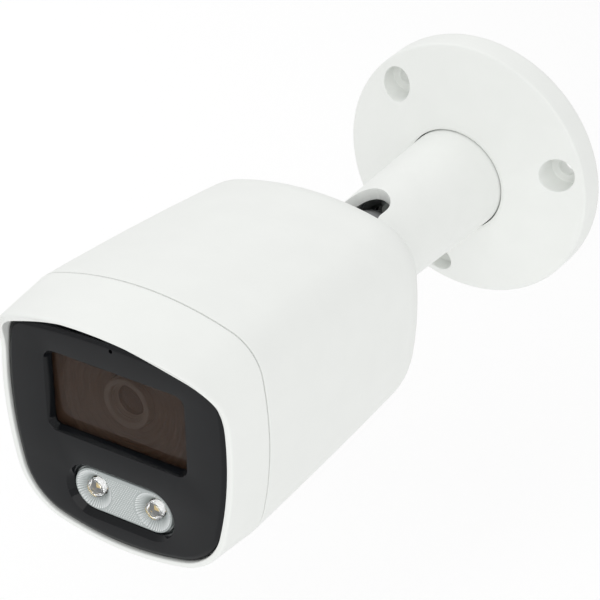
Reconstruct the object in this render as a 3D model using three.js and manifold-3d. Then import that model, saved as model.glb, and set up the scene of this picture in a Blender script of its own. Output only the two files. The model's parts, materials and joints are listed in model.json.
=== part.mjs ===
// Bullet security camera on a three-axis wall bracket.
// Millimetres, +Z up. The wall is the plane y = 0 and the camera looks along -Y.
// The origin is the centre of the bracket's base, on the wall.
import * as THREE from 'three';
import { mergeVertices } from 'three/addons/utils/BufferGeometryUtils.js';
import { ParametricGeometry } from 'three/addons/geometries/ParametricGeometry.js';
import Module from 'manifold-3d';

const wasm = await Module();
wasm.setup();

// ---------------------------------------------------------------- driving sizes
const GAP = 0.3;                    // clearance kept between seated pieces
const RUNNING = 0.4;                // clearance kept where one piece turns in another
const ROUND = 30;                   // sides of a large turned piece
const SMALL_ROUND = 12;             // sides of a screw, pin or spacer

const base = {
  radius: 35,                       // outside of the wall base
  rim: 7.4,                         // height of its straight side
  hub: 13.4,                        // height at the arm
  edge: 0.7,                        // rounding of the front edge
  holeCircle: 28.4,                 // radius of the circle of fixing holes
  holeStart: 14,                    // angle of the first fixing hole, degrees
  holes: 3,
  counterbore: 4.4,                 // radius of the screw-head pocket
  through: 2.3,                     // radius of the fixing hole
  floor: 3.6,                       // material left under a screw head
};
const cover = {
  thick: 1.9,
  bore: 8,                          // cable hole
  pocket: 2.6,                      // depth of its seat in the base
  screwRoom: 3.1,                   // from the arm's flange to the middle of a screw
  rimWidth: 3.2,                    // from the middle of a screw to the edge
  screw: 1.2,                       // radius of a screw's thread
  screwLength: 4,                   // how far a screw goes into the base
  headHigh: 0.5,
};
const arm = {
  rootRadius: 13.7,                 // at the base's hub
  neckRadius: 12.55,                // at the knuckle
  bore: 9.7,                        // cable passage and ball seat
  flange: 3,                        // width of the flange behind the hub
  flangeThick: 3,
  knuckleAt: 52.4,                  // knuckle centre's distance from the wall
  dome: 12.9,                       // radius of the rounded end, about the knuckle's centre
  mouth: 6.35,                      // half the width of the tilt slot and of the front opening
  turn: 8.3,                        // the arm is turned on the base by this angle, degrees
};
const ball = { radius: 8.9, neck: 5.2, cable: 2.8, cutAt: 0.72, core: 1.6 };
const pin = { radius: 1.9, length: 4.4, skin: 0.7 };
const grub = { radius: 2, length: 2.2 };
const pressRing = { bore: 6.6, thick: 2.2, split: 2.2 };
const rearReach = 18.3;             // knuckle centre to the housing's rear face
const shoulder = { radius: 8.4, thick: 0.9 };
const nut = { radius: 8.6, thick: 3.4, washer: 0.8, room: 6.4 };
const housing = { wall: 2.4, rearWall: 3.4, rearRound: 11.5, swell: 0.3 };
const tongue = { length: 5, thick: 1.6 };
const boss = { radius: 4.8, length: 15, bite: 2.6 };
const ear = { thick: 5, overlap: 1 };  // front shell's screw ears, at the end of its tongue
const seamAt = 142;                 // distance of the housing seam from the wall
const seamGroove = 0.35;            // open line between the two shells
const faceAt = 154.75;              // distance of the front panel's face from the wall
const faceLean = 1.69;              // the panel leans back by this angle, degrees
const brow = { reach: 8.1, knee: 19, bend: 4, proud: 0.3 }; // visor over the panel
const panel = { thick: 2, chamfer: 1.1, chamferDeep: 0.9, gasket: 0.5, gasketWide: 2.6 };
const lensWindow = { half: 19.15, low: -0.85, high: 19.85, corner: 2.6, bevel: 0.8 };
const lightWindow = { pitch: 16.24, radius: 6.83, z: -14, bevel: 1.5 };
const opticAxis = 9.67;             // height of the lens above the arm's axis
const lens = { radius: 6.2, thread: 6, front: 4.2, ring: 3.4, length: 14, glass: 3.9 };
const baffle = { margin: 1.1, thick: 3.2, steps: 6, pitch: 1.68, rise: 0.3 };
const optic = { inset: 1.5, thick: 1.5, flange: 1 };
const lightBoard = { depth: 5.8, pitch: 26, radius: 7.2, screwAt: 17.2, screwLength: 4.6 };
const light = { wide: 3.5, thick: 0.9 };
const chip = { wide: 14, thick: 1.4 };
const sink = { wide: 20, plate: 1.6, fins: 6, finThick: 1.2, finHigh: 6, finPitch: 3.6 };
const sensor = { wide: 9, high: 8, thick: 1.2 };
const holder = { wall: 1.8, foot: 17, footThick: 2.4, wellWide: 10.4, wellHigh: 9.4 };
const screwHead = { radius: 1.7, high: 1.1, recess: 0.9, recessDeep: 0.6 }; // shares of the thread
const chassis = {
  depth: 8.2,
  thick: 1.8,
  lugInset: 5.25,                   // from the panel's opening to the middle of a lug's screw
  lugReach: 2.3,                    // from that screw to the lug's free end
  lugHeight: 9,
  lugThick: 3,
};
const board = {
  thick: 1.6,
  half: 17,
  corner: 1.5,
  post: 13.5,                       // from the lens axis to a spacer, each way
  spacer: 2.4,                      // radius over the corners of a spacer
  sensorDepth: 21,
  mainDepth: 36,
  screw: 1.3,                       // radius of the small screws' thread
  screwLength: 6,
  lugScrewLength: 6.4,
  shellScrewLength: 12,
};
const microphone = { z: 25.2, radius: 1.3, length: 3, hole: 0.5 };

// the housing's cross-sections, each an outline of five tangent arcs a side
const seamSection = {
  half: 32.3, widest: 8.5, sideR: 90, top: 35.2, topR: 76, topCorner: 11.3,
  bottom: -27.7, bottomR: 70, bottomCorner: 16.5,
};
const frontSection = {
  half: 30.8, widest: 7.5, sideR: 88, top: 35.5, topR: 53, topCorner: 14,
  bottom: -26.3, bottomR: 70, bottomCorner: 15.8,
};
const rearSection = {
  half: 29.8, widest: 7.2, sideR: 90, top: 27.9, topR: 74, topCorner: 14.6,
  bottom: -28, bottomR: 74, bottomCorner: 24,
};
// the opening that the panel sits in, and the same opening at the tip of the visor
const lipSection = {
  half: 29.95, widest: 8.2, sideR: 86.7, top: 28.4, topR: 120, topCorner: 6,
  bottom: -25.5, bottomR: 68.5, bottomCorner: 14.5,
};
const tipSection = {
  half: 29.95, widest: 8.2, sideR: 86.7, top: 34.3, topR: 50, topCorner: 12,
  bottom: -25.5, bottomR: 68.5, bottomCorner: 14.5,
};
// the flat face of the panel, inside its chamfer
const faceSection = {
  half: 28.5, widest: 8.2, sideR: 88, top: 25.6, topR: 190, topCorner: 3,
  bottom: -24.1, bottomR: 67, bottomCorner: 13,
};

// ---------------------------------------------------------------- worked-out places
const rearFace = arm.knuckleAt + rearReach;
const frontReach = faceAt + brow.reach + 1;
const leanRad = THREE.MathUtils.degToRad(faceLean);
const hubBore = arm.rootRadius + RUNNING;
const flangeRadius = arm.rootRadius + arm.flange;
const coverScrewCircle = flangeRadius + cover.screwRoom;
const coverRadius = coverScrewCircle + cover.rimWidth;
const seatRadius = ball.radius + 2 * RUNNING;
const hubShoulder = base.hub - 4.8;
const frictionThick = 0.6;
const flangeFront = hubShoulder - 2 * GAP - frictionThick;
const flangeBack = flangeFront - arm.flangeThick;
const coverFront = cover.pocket - 0.1;
const coverBack = coverFront - cover.thick;
const cavityInset = housing.wall + GAP + tongue.thick;
const tongueEnd = seamAt - tongue.length;
const earFront = tongueEnd + ear.overlap;
const earBack = earFront - ear.thick;
const bossTop = earBack - GAP;
const smallHead = screwHead.high * board.screw;
const lugHeightAt = seamSection.widest;
const lugX = lipSection.half - chassis.lugInset;
const lugScrews = [[-lugX, lugHeightAt], [lugX, lugHeightAt]];

// ---------------------------------------------------------------- finishes
const finish = (color, roughness, metalness) => () =>
  new THREE.MeshStandardMaterial({ color, roughness, metalness });
const whitePaint = finish(0xe9eae7, 0.55, 0);
const blackGloss = finish(0x17191b, 0.12, 0);
const blackPlastic = finish(0x1b1a19, 0.6, 0);
const smokedGlass = finish(0x4a3d33, 0.05, 0);
const clearPlastic = finish(0xdfe3e2, 0.1, 0);
const darkMetal = finish(0x4b4c4d, 0.4, 0.9);
const steel = finish(0xb9bbbd, 0.3, 1);
const brass = finish(0xb08d4a, 0.35, 1);
const rubber = finish(0x222222, 0.9, 0);
const boardGreen = finish(0x1f5a3a, 0.6, 0);
const aluminium = finish(0xc4c6c8, 0.4, 1);
const glass = finish(0x8fa6a0, 0.05, 0);
const phosphor = finish(0xf2d66b, 0.5, 0);

// ---------------------------------------------------------------- solid helpers
function solidOf(geometry) {
  const bare = geometry.clone();
  bare.deleteAttribute('normal');
  bare.deleteAttribute('uv');
  const merged = mergeVertices(bare, 1e-4);
  const place = merged.attributes.position.array;
  const corners = merged.index.array;
  const faces = [];
  let volume = 0;
  for (let i = 0; i < corners.length; i += 3) {
    const [a, b, c] = [corners[i], corners[i + 1], corners[i + 2]];
    if (a === b || b === c || a === c) continue;
    faces.push(a, b, c);
    const [A, B, C] = [a, b, c].map((k) => new THREE.Vector3().fromArray(place, 3 * k));
    volume += A.dot(B.cross(C));
  }
  if (volume < 0) faces.reverse();
  const mesh = new wasm.Mesh({
    numProp: 3,
    vertProperties: Float32Array.from(place),
    triVerts: Uint32Array.from(faces),
  });
  return new wasm.Manifold(mesh);
}

function geometryOf(solid) {
  const mesh = solid.getMesh();
  const geometry = new THREE.BufferGeometry();
  geometry.setAttribute('position', new THREE.BufferAttribute(mesh.vertProperties, 3));
  geometry.setIndex(new THREE.BufferAttribute(mesh.triVerts, 1));
  return geometry;
}

const cut = (body, ...tools) =>
  geometryOf(tools.reduce((left, tool) => left.subtract(solidOf(tool)), solidOf(body)));
const join = (body, ...more) =>
  geometryOf(more.reduce((whole, piece) => whole.add(solidOf(piece)), solidOf(body)));
const common = (body, other) => geometryOf(solidOf(body).intersect(solidOf(other)));

// ---------------------------------------------------------------- shape helpers
// A turned piece about the Y axis; points are [radius, distance from the wall].
function turned(points, sides = ROUND) {
  const profile = points.map(([radius, reach]) => new THREE.Vector2(radius, -reach));
  return new THREE.LatheGeometry(profile, sides);
}

// A ring, or a disc when the bore is 0, between two distances from the wall.
function ring(outer, bore, near, far, sides = ROUND) {
  if (bore === 0) return turned([[0, near], [outer, near], [outer, far], [0, far]], sides);
  return turned([[bore, near], [outer, near], [outer, far], [bore, far], [bore, near]], sides);
}

function rodAlong(axis, radius, length, sides = SMALL_ROUND) {
  const rod = new THREE.CylinderGeometry(radius, radius, length, sides);
  if (axis === 'x') rod.rotateZ(Math.PI / 2);
  if (axis === 'z') rod.rotateX(Math.PI / 2);
  return rod;
}

// A flat shape drawn in x and z, made solid between two distances from the wall.
function slab(shape, near, far, curveSegments = 8) {
  const solid = new THREE.ExtrudeGeometry(shape, {
    depth: far - near, bevelEnabled: false, curveSegments,
  });
  solid.rotateX(Math.PI / 2);
  return solid.translate(0, -near, 0);
}

function box(width, depth, height, x, reach, z) {
  return new THREE.BoxGeometry(width, depth, height).translate(x, -reach, z);
}

function roundedRect(left, right, low, high, corner) {
  const shape = new THREE.Shape();
  shape.moveTo(left + corner, low);
  shape.absarc(right - corner, low + corner, corner, -Math.PI / 2, 0);
  shape.absarc(right - corner, high - corner, corner, 0, Math.PI / 2);
  shape.absarc(left + corner, high - corner, corner, Math.PI / 2, Math.PI);
  shape.absarc(left + corner, low + corner, corner, Math.PI, Math.PI * 1.5);
  shape.closePath();
  return shape;
}

function stadium(pitch, radius, z) {
  const shape = new THREE.Shape();
  shape.absarc(pitch / 2, z, radius, -Math.PI / 2, Math.PI / 2);
  shape.absarc(-pitch / 2, z, radius, Math.PI / 2, Math.PI * 1.5);
  shape.closePath();
  return shape;
}

// Centre of the corner arc that touches two larger arcs from inside.
function cornerCentre(a, radiusA, b, radiusB, corner, up) {
  const ra = radiusA - corner;
  const rb = radiusB - corner;
  const line = b.clone().sub(a);
  const d = line.length();
  const along = (ra * ra - rb * rb + d * d) / (2 * d);
  const off = Math.sqrt(Math.max(ra * ra - along * along, 0));
  line.normalize();
  const foot = a.clone().addScaledVector(line, along);
  const side = new THREE.Vector2(-line.y, line.x);
  const choices = [foot.clone().addScaledVector(side, off), foot.clone().addScaledVector(side, -off)];
  return choices.sort((p, q) => (q.x + up * q.y) - (p.x + up * p.y))[0];
}

const ARC_STEPS = [3, 5, 4, 5, 3];  // steps in each arc of half an outline
// The points of a section, from the middle of the top round through the right side and back.
function sectionPoints(s, grow = 0) {
  const top = new THREE.Vector2(0, s.top - s.topR);
  const side = new THREE.Vector2(s.half - s.sideR, s.widest);
  const low = new THREE.Vector2(0, s.bottom + s.bottomR);
  const upper = cornerCentre(top, s.topR, side, s.sideR, s.topCorner, 1);
  const lower = cornerCentre(low, s.bottomR, side, s.sideR, s.bottomCorner, -1);
  const turn = (from, to) => to.clone().sub(from).angle();
  const back = (angle) => (angle > Math.PI ? angle - 2 * Math.PI : angle);
  const stops = [Math.PI / 2, turn(top, upper), back(turn(side, upper)), back(turn(side, lower)),
    back(turn(low, lower)), -Math.PI / 2];
  const arcs = [[top, s.topR], [upper, s.topCorner], [side, s.sideR], [lower, s.bottomCorner],
    [low, s.bottomR]];
  const right = arcs.flatMap(([centre, radius], i) => {
    const arc = new THREE.EllipseCurve(centre.x, centre.y, radius + grow, radius + grow,
      stops[i], stops[i + 1], true);
    const points = arc.getPoints(ARC_STEPS[i]);
    return i === 0 ? points : points.slice(1);
  });
  const left = right.slice(1, -1).reverse().map((p) => new THREE.Vector2(-p.x, p.y));
  return [...right, ...left];
}

// A closed skin through sections: each station is [distance from the wall, points].
function skin(stations) {
  const count = stations[0][1].length;
  const middle = ([reach, points]) => {
    const centre = points.reduce((sum, p) => sum.add(p), new THREE.Vector2());
    return [reach, points.map(() => centre.clone().divideScalar(count))];
  };
  const rows = [middle(stations[0]), ...stations, middle(stations.at(-1))];
  const shape = (u, v, target) => {
    const [reach, points] = rows[Math.round(v * (rows.length - 1))];
    const p = points[Math.round(u * count) % count];
    target.set(p.x, -reach, p.y);
  };
  return new ParametricGeometry(shape, count, rows.length - 1);
}

function blend(a, b, t) {
  return Object.fromEntries(Object.keys(a).map((k) => [k, THREE.MathUtils.lerp(a[k], b[k], t)]));
}

// The housing swells a little between the rear face and the seam.
function housingSection(reach) {
  const t = (seamAt - reach) / (seamAt - rearFace);
  return blend(seamSection, rearSection, t * (1 - housing.swell) + housing.swell * t * t);
}

function frontShellSection(reach) {
  return blend(seamSection, frontSection, (reach - seamAt) / (frontReach - seamAt));
}

// Stations of a section law between two distances from the wall.
function stations(law, grow, from, to, steps) {
  return Array.from({ length: steps + 1 }, (_, i) => {
    const reach = THREE.MathUtils.lerp(from, to, i / steps);
    return [reach, sectionPoints(law(reach), grow)];
  });
}

function places(circle, start, count) {
  return Array.from({ length: count }, (_, i) => {
    const angle = THREE.MathUtils.degToRad(start + (360 / count) * i);
    return [circle * Math.cos(angle), circle * Math.sin(angle)];
  });
}

// A screw along Y with its head's top at `top`; a positive length points away from the wall.
function screw(radius, top, length, sides = SMALL_ROUND) {
  const way = Math.sign(length);
  const under = top + way * screwHead.high * radius;
  const head = ring(screwHead.radius * radius, 0, top, under, sides);
  const shank = ring(radius, 0, under - 0.1 * way, top + length, sides);
  const recess = ring(screwHead.recess * radius, 0, top - way,
    top + way * screwHead.recessDeep * radius, 6);
  return cut(join(head, shank), recess);
}

// ---------------------------------------------------------------- scene graph
const group = new THREE.Group();
const face = new THREE.Group();     // in it, y counts from the panel's face towards the wall
face.position.set(0, -faceAt, 0);
face.rotation.x = -leanRad;
face.updateMatrix();
group.add(face);
const bracket = new THREE.Group();  // the arm and knuckle, turned on the base
bracket.rotation.y = -THREE.MathUtils.degToRad(arm.turn);
group.add(bracket);

function add(parent, name, geometry, material) {
  const mesh = new THREE.Mesh(geometryOf(solidOf(geometry)), material());
  mesh.name = name;
  parent.add(mesh);
}

const deepSlab = (shape, near, far, steps) => slab(shape, -far, -near, steps);
const deepRing = (outer, bore, near, far, sides) => ring(outer, bore, -near, -far, sides);
const deepSkin = (rows) => skin(rows.map(([depth, points]) => [-depth, points]));
const onFace = (geometry) => geometry.applyMatrix4(face.matrix);

// ---------------------------------------------------------------- wall base
const coverScrews = places(coverScrewCircle, base.holeStart + 180 / base.holes, base.holes);

function wallBase() {
  const e = base.edge;
  const rim = coverRadius + GAP;
  const pocket = flangeRadius + RUNNING;
  const body = turned([
    [rim, 0], [base.radius, 0], [base.radius, base.rim - e],
    [base.radius - 0.3 * e, base.rim - 0.3 * e], [base.radius - e, base.rim],
    [hubBore + 0.5 * e, base.hub], [hubBore, base.hub - 0.5 * e], [hubBore, hubShoulder],
    [pocket, hubShoulder], [pocket, cover.pocket], [rim, cover.pocket], [rim, 0],
  ], 60);
  const fixings = places(base.holeCircle, base.holeStart, base.holes).flatMap(([x, z]) => [
    ring(base.counterbore, 0, base.floor, base.hub, 24).translate(x, 0, z),
    ring(base.through, 0, -1, base.hub, SMALL_ROUND).translate(x, 0, z),
  ]);
  const threads = coverScrews.map(([x, z]) =>
    ring(cover.screw + GAP, 0, 1, cover.pocket + cover.screwLength + 0.5, SMALL_ROUND).translate(x, 0, z));
  return cut(body, ...fixings, ...threads);
}

function panCover() {
  const holes = coverScrews.map(([x, z]) =>
    ring(cover.screw + GAP, 0, -1, 5, SMALL_ROUND).translate(x, 0, z));
  return cut(ring(coverRadius, cover.bore, coverBack, coverFront), ...holes);
}

function addWallBase() {
  add(group, 'wall_base', wallBase(), whitePaint);
  const front = hubShoulder - GAP;
  add(group, 'pan_friction_washer', ring(flangeRadius, hubBore, front - frictionThick, front),
    blackPlastic);
  add(group, 'pan_spring', ring(flangeRadius - 0.4, flangeRadius - 3, coverFront + GAP,
    flangeBack - GAP), steel);
  add(group, 'pan_cover', panCover(), steel);
  coverScrews.forEach(([x, z], i) => {
    const shankEnd = cover.pocket + cover.screwLength;
    const shank = ring(cover.screw, 0, coverBack - 0.1, shankEnd, SMALL_ROUND);
    const headFront = coverBack - 0.05;
    const head = ring(1.6 * cover.screw, 0, headFront - cover.headHigh, headFront, SMALL_ROUND);
    add(group, `pan_cover_screw_${i + 1}`, join(shank, head).translate(x, 0, z), steel);
  });
}

// ---------------------------------------------------------------- arm and knuckle
const ringFront = arm.knuckleAt - ball.radius + 0.7;
const ringOuter = arm.bore - GAP;

function armTube() {
  const taper = (arm.rootRadius - arm.neckRadius) / (arm.knuckleAt - base.hub);
  const tip = arm.knuckleAt + arm.dome;
  const tipRadius = arm.rootRadius - taper * (tip - base.hub);
  const outside = turned([
    [0, flangeBack], [flangeRadius, flangeBack], [flangeRadius, flangeFront],
    [arm.rootRadius, flangeFront], [arm.rootRadius, base.hub], [tipRadius, tip], [0, tip],
  ]);
  const nose = new THREE.SphereGeometry(arm.dome, ROUND, 18).translate(0, -arm.knuckleAt, 0);
  const body = common(outside, join(nose, ring(flangeRadius + 1, 0, 0, arm.knuckleAt)));
  const seat = new THREE.SphereGeometry(seatRadius, 28, 14).translate(0, -arm.knuckleAt, 0);
  const passage = ring(arm.bore, 0, 0, arm.knuckleAt, 24);
  const mouth = ring(arm.mouth, 0, arm.knuckleAt, tip + 1, 24);
  const high = 2 * arm.rootRadius;
  const slot = box(2 * arm.mouth, high, high, 0, arm.knuckleAt + high / 2, high / 2);
  const slotEnd = rodAlong('z', arm.mouth, high, 24).translate(0, -arm.knuckleAt, high / 2);
  const pinHoleLength = 2 * (arm.neckRadius - pin.skin);
  const pinHole = rodAlong('x', pin.radius + GAP, pinHoleLength).translate(0, -arm.knuckleAt, 0);
  const lockHole = rodAlong('z', grub.radius + GAP, high).translate(0, -arm.knuckleAt, -high / 2);
  return cut(body, seat, passage, mouth, slot, slotEnd, pinHole, lockHole);
}

function knuckle() {
  const sphere = new THREE.SphereGeometry(ball.radius, 24, 14).translate(0, -arm.knuckleAt, 0);
  const keep = ring(ball.radius + 1, 0, arm.knuckleAt - ball.cutAt * ball.radius, rearFace);
  const neckEnd = rearFace + housing.rearWall + nut.room;
  const neck = ring(ball.neck, 0, arm.knuckleAt, neckEnd, 24);
  const flange = ring(shoulder.radius, 0, rearFace - GAP - shoulder.thick, rearFace - GAP, 24);
  const cable = ring(ball.cable, 0, 0, neckEnd + 1, SMALL_ROUND);
  const pinHole = rodAlong('x', pin.radius + GAP, 2.2 * ball.radius).translate(0, -arm.knuckleAt, 0);
  const core = ring(ball.cable + ball.core, 0, 0, neckEnd, SMALL_ROUND);
  return cut(join(common(sphere, keep), neck, flange), cable, cut(pinHole, core));
}

function addArmAndKnuckle() {
  add(bracket, 'bracket_arm', armTube(), whitePaint);
  add(bracket, 'knuckle', knuckle(), darkMetal);
  const pinMiddle = arm.neckRadius - pin.skin - GAP - pin.length / 2;
  for (const [side, name] of [[-1, 'tilt_pin_left'], [1, 'tilt_pin_right']]) {
    const rod = rodAlong('x', pin.radius, pin.length);
    add(bracket, name, rod.translate(side * pinMiddle, -arm.knuckleAt, 0), steel);
  }
  const ringBack = ringFront - pressRing.thick;
  const split = box(pressRing.split, 3 * pressRing.thick, ringOuter, 0, ringFront, ringOuter);
  add(bracket, 'knuckle_press_ring', cut(ring(ringOuter, pressRing.bore, ringBack, ringFront), split),
    steel);
  const springBack = ringBack - 2.4;
  add(bracket, 'knuckle_spring', ring(ringOuter - 0.6, pressRing.bore + 0.5, springBack,
    ringBack - GAP), steel);
  add(bracket, 'knuckle_spring_stop', ring(ringOuter, pressRing.bore, springBack - GAP - 2,
    springBack - GAP), darkMetal);
  const drive = rodAlong('z', grub.radius * 0.5, grub.length, 6).translate(0, 0, -grub.length / 2);
  const grubScrew = cut(rodAlong('z', grub.radius, grub.length), drive);
  const grubZ = -(ball.radius + GAP + grub.length / 2);
  add(bracket, 'tilt_lock_screw', grubScrew.translate(0, -arm.knuckleAt, grubZ), steel);
  const washerFar = rearFace + housing.rearWall + GAP + nut.washer;
  add(bracket, 'neck_washer', ring(nut.radius, ball.neck + GAP, washerFar - nut.washer, washerFar),
    steel);
  add(bracket, 'neck_nut', cut(ring(nut.radius, 0, washerFar + GAP, washerFar + GAP + nut.thick, 6),
    ring(ball.neck + GAP, 0, 0, washerFar + 20, 24)), brass);
}

// ---------------------------------------------------------------- housing shells
// Screw posts sit in the corners of the outline, half sunk in the wall.
function bossPlaces() {
  const s = seamSection;
  const side = new THREE.Vector2(s.half - s.sideR, s.widest);
  const corners = [
    [new THREE.Vector2(0, s.top - s.topR), s.topR, s.topCorner, 1],
    [new THREE.Vector2(0, s.bottom + s.bottomR), s.bottomR, s.bottomCorner, -1],
  ];
  return corners.flatMap(([centre, radius, corner, up]) => {
    const middle = cornerCentre(centre, radius, side, s.sideR, corner, up);
    const out = (corner - cavityInset - boss.bite) * Math.SQRT1_2;
    const [x, z] = [middle.x + out, middle.y + up * out];
    return [[x, z], [-x, z]];
  });
}

// The rounded rear end of the housing: stations that close in to the end face.
function roundedEnd(endAt, radius, inset, turns) {
  return Array.from({ length: turns }, (_, i) => {
    const angle = (Math.PI / 2) * (i / turns);
    const reach = endAt + radius * (1 - Math.cos(angle));
    return [reach, sectionPoints(housingSection(reach), -inset - radius * (1 - Math.sin(angle)))];
  });
}

function rearHousing() {
  const { wall, rearWall, rearRound } = housing;
  const innerRound = rearRound - wall;
  const innerEnd = rearFace + rearWall;
  const end = seamAt - seamGroove / 2;
  const outer = skin([...roundedEnd(rearFace, rearRound, 0, 6),
    ...stations(housingSection, 0, rearFace + rearRound, end, 4)]);
  const inner = skin([...roundedEnd(innerEnd, innerRound, wall, 3),
    ...stations(housingSection, -wall, innerEnd + innerRound, seamAt + 1, 3)]);
  const shell = cut(outer, inner);
  const posts = bossPlaces().map(([x, z]) =>
    common(ring(boss.radius, 0, bossTop - boss.length, bossTop, SMALL_ROUND).translate(x, 0, z),
      outer));
  const threads = bossPlaces().map(([x, z]) =>
    ring(board.screw + GAP, 0, bossTop - 9, bossTop + 1, 12).translate(x, 0, z));
  const neckHole = ring(ball.neck + RUNNING, 0, 0, rearFace + 10, 24);
  const sealGroove = ring(ball.neck + 2.2, 0, rearFace + 1, rearFace + 2.8, 24);
  return cut(join(shell, ...posts), neckHole, sealGroove, ...threads);
}

// Everything in front of the shell's lip: straight below the knee, sloping out over the panel.
function lipCutter() {
  const wide = 2 * seamSection.half + 10;
  const slope = brow.reach / (tipSection.top - brow.knee);
  const over = seamSection.top + 12;
  const shape = new THREE.Shape();
  shape.moveTo(over, -brow.proud);
  shape.lineTo(-brow.knee + brow.bend, -brow.proud);
  shape.quadraticCurveTo(-brow.knee, -brow.proud, -brow.knee - brow.bend,
    -brow.proud - slope * brow.bend);
  shape.lineTo(-over, -brow.proud - slope * (over - brow.knee));
  shape.lineTo(-over, -3 * over);
  shape.lineTo(over, -3 * over);
  const cutter = new THREE.ExtrudeGeometry(shape, { depth: wide, bevelEnabled: false });
  return onFace(cutter.rotateY(Math.PI / 2).translate(-wide / 2, 0, 0));
}

function frontShell() {
  const outer = skin(stations(frontShellSection, 0, seamAt + seamGroove / 2, frontReach + 4, 3));
  const tongueOuter = skin(stations(housingSection, -housing.wall - GAP, tongueEnd, seamAt + 1, 1));
  const ears = bossPlaces().map(([x, z]) =>
    common(ring(boss.radius, 0, earBack, earFront, SMALL_ROUND).translate(x, 0, z),
      skin(stations(housingSection, -housing.wall - GAP, earBack - 1, seamAt, 1))));
  const cavity = skin([
    [tongueEnd - 1, sectionPoints(housingSection(seamAt), -cavityInset)],
    [faceAt + 5, sectionPoints(frontShellSection(faceAt), -cavityInset)],
  ]);
  const beyond = { ...tipSection, top: 2 * tipSection.top - lipSection.top };
  const pocket = onFace(deepSkin([
    [-2 * brow.reach, sectionPoints(beyond)],
    [-brow.reach, sectionPoints(tipSection)],
    [0, sectionPoints(lipSection)],
    [panel.thick + panel.gasket + GAP, sectionPoints(lipSection)],
  ]));
  const groove = cut(skin(stations(frontShellSection, -0.8, seamAt, seamAt + 1.3, 1)),
    skin(stations(frontShellSection, -2, seamAt - 1, seamAt + 2, 1)));
  const open = cut(join(outer, tongueOuter), cavity, pocket, lipCutter(), groove);
  const lugs = [-1, 1].map((side) => {
    const free = lugX - chassis.lugReach;
    const rooted = seamSection.half - cavityInset + 1;
    const lug = new THREE.BoxGeometry(rooted - free, chassis.lugThick, chassis.lugHeight);
    const depth = chassis.depth + chassis.thick + GAP + chassis.lugThick / 2;
    return onFace(lug.translate((side * (free + rooted)) / 2, depth, lugHeightAt));
  });
  const lightRoom = [
    [lightWindow.pitch, lightWindow.radius + optic.flange, panel.thick, optic.thick],
    [lightBoard.pitch, lightBoard.radius, lightBoard.depth - GAP, board.thick],
  ].map(([pitch, radius, near, thick]) =>
    onFace(deepSlab(stadium(pitch, radius + GAP, lightWindow.z), near, near + thick + 2 * GAP, 8)));
  const lugHoles = lugScrews.map(([x, z]) =>
    onFace(deepRing(board.screw + GAP, 0, chassis.depth, 20, 12).translate(x, 0, z)));
  const earHoles = bossPlaces().map(([x, z]) =>
    ring(board.screw + GAP, 0, earBack - 1, earFront + 1, 12).translate(x, 0, z));
  const headRoom = bossPlaces().map(([x, z]) =>
    ring(screwHead.radius * board.screw + GAP, 0, earFront, earFront + smallHead + 2 * GAP, 12)
      .translate(x, 0, z));
  const micHole = onFace(deepRing(microphone.radius + GAP, 0, 0, 8, SMALL_ROUND)
    .translate(0, 0, microphone.z));
  return cut(join(open, ...ears, ...lugs), ...earHoles, ...headRoom, ...lugHoles,
    ...lightRoom, micHole);
}

function addShells() {
  add(group, 'rear_housing', rearHousing(), whitePaint);
  add(group, 'front_shell', frontShell(), whitePaint);
  const near = seamAt - seamGroove / 2 + GAP;
  add(group, 'seam_seal', cut(skin(stations(frontShellSection, -1, near, near + 0.85, 1)),
    skin(stations(frontShellSection, -1.8, near - 1, near + 2, 1))), rubber);
  add(group, 'neck_seal', ring(ball.neck + 1.9, ball.neck + 0.15, rearFace + 1.2, rearFace + 2.6, 24),
    rubber);
  bossPlaces().forEach(([x, z], i) => {
    const body = screw(board.screw, earFront + GAP + smallHead, -board.shellScrewLength, 12);
    add(group, `shell_screw_${i + 1}`, body.translate(x, 0, z), steel);
  });
}

// ---------------------------------------------------------------- front panel and windows
function outlinePoints(shape) {
  return shape.getPoints(6).slice(0, -1);
}

function lensOpening(grow) {
  const w = lensWindow;
  return outlinePoints(roundedRect(-w.half - grow, w.half + grow, w.low - grow, w.high + grow,
    w.corner + grow));
}

function lightOpening(grow) {
  return outlinePoints(stadium(lightWindow.pitch, lightWindow.radius + grow, lightWindow.z));
}

// A cutter that narrows by `bevel` through the panel.
function bevelledCut(opening, bevel) {
  const slope = bevel / panel.thick;
  return deepSkin([[-1, opening(slope)], [panel.thick + 1, opening(-bevel - slope)]]);
}

function frontPanel() {
  const grown = sectionPoints(faceSection, panel.chamfer);
  const body = deepSkin([
    [0, sectionPoints(faceSection)], [panel.chamferDeep, grown], [panel.thick, grown],
  ]);
  const hole = deepRing(microphone.hole, 0, -1, panel.thick + 1, 12);
  return cut(body, bevelledCut(lensOpening, lensWindow.bevel),
    bevelledCut(lightOpening, lightWindow.bevel), hole.translate(0, 0, microphone.z));
}

function panelGasket() {
  const near = panel.thick + GAP / 2;
  const outer = deepSkin([0, panel.gasket].map((d) => [near + d, sectionPoints(lipSection, -GAP)]));
  const innerGrow = -GAP - panel.gasketWide;
  const inner = deepSkin([-1, 2].map((d) => [near + d, sectionPoints(lipSection, innerGrow)]));
  const notch = deepRing(microphone.radius + GAP, 0, 0, 8, SMALL_ROUND);
  return cut(outer, inner, notch.translate(0, 0, microphone.z));
}

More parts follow.
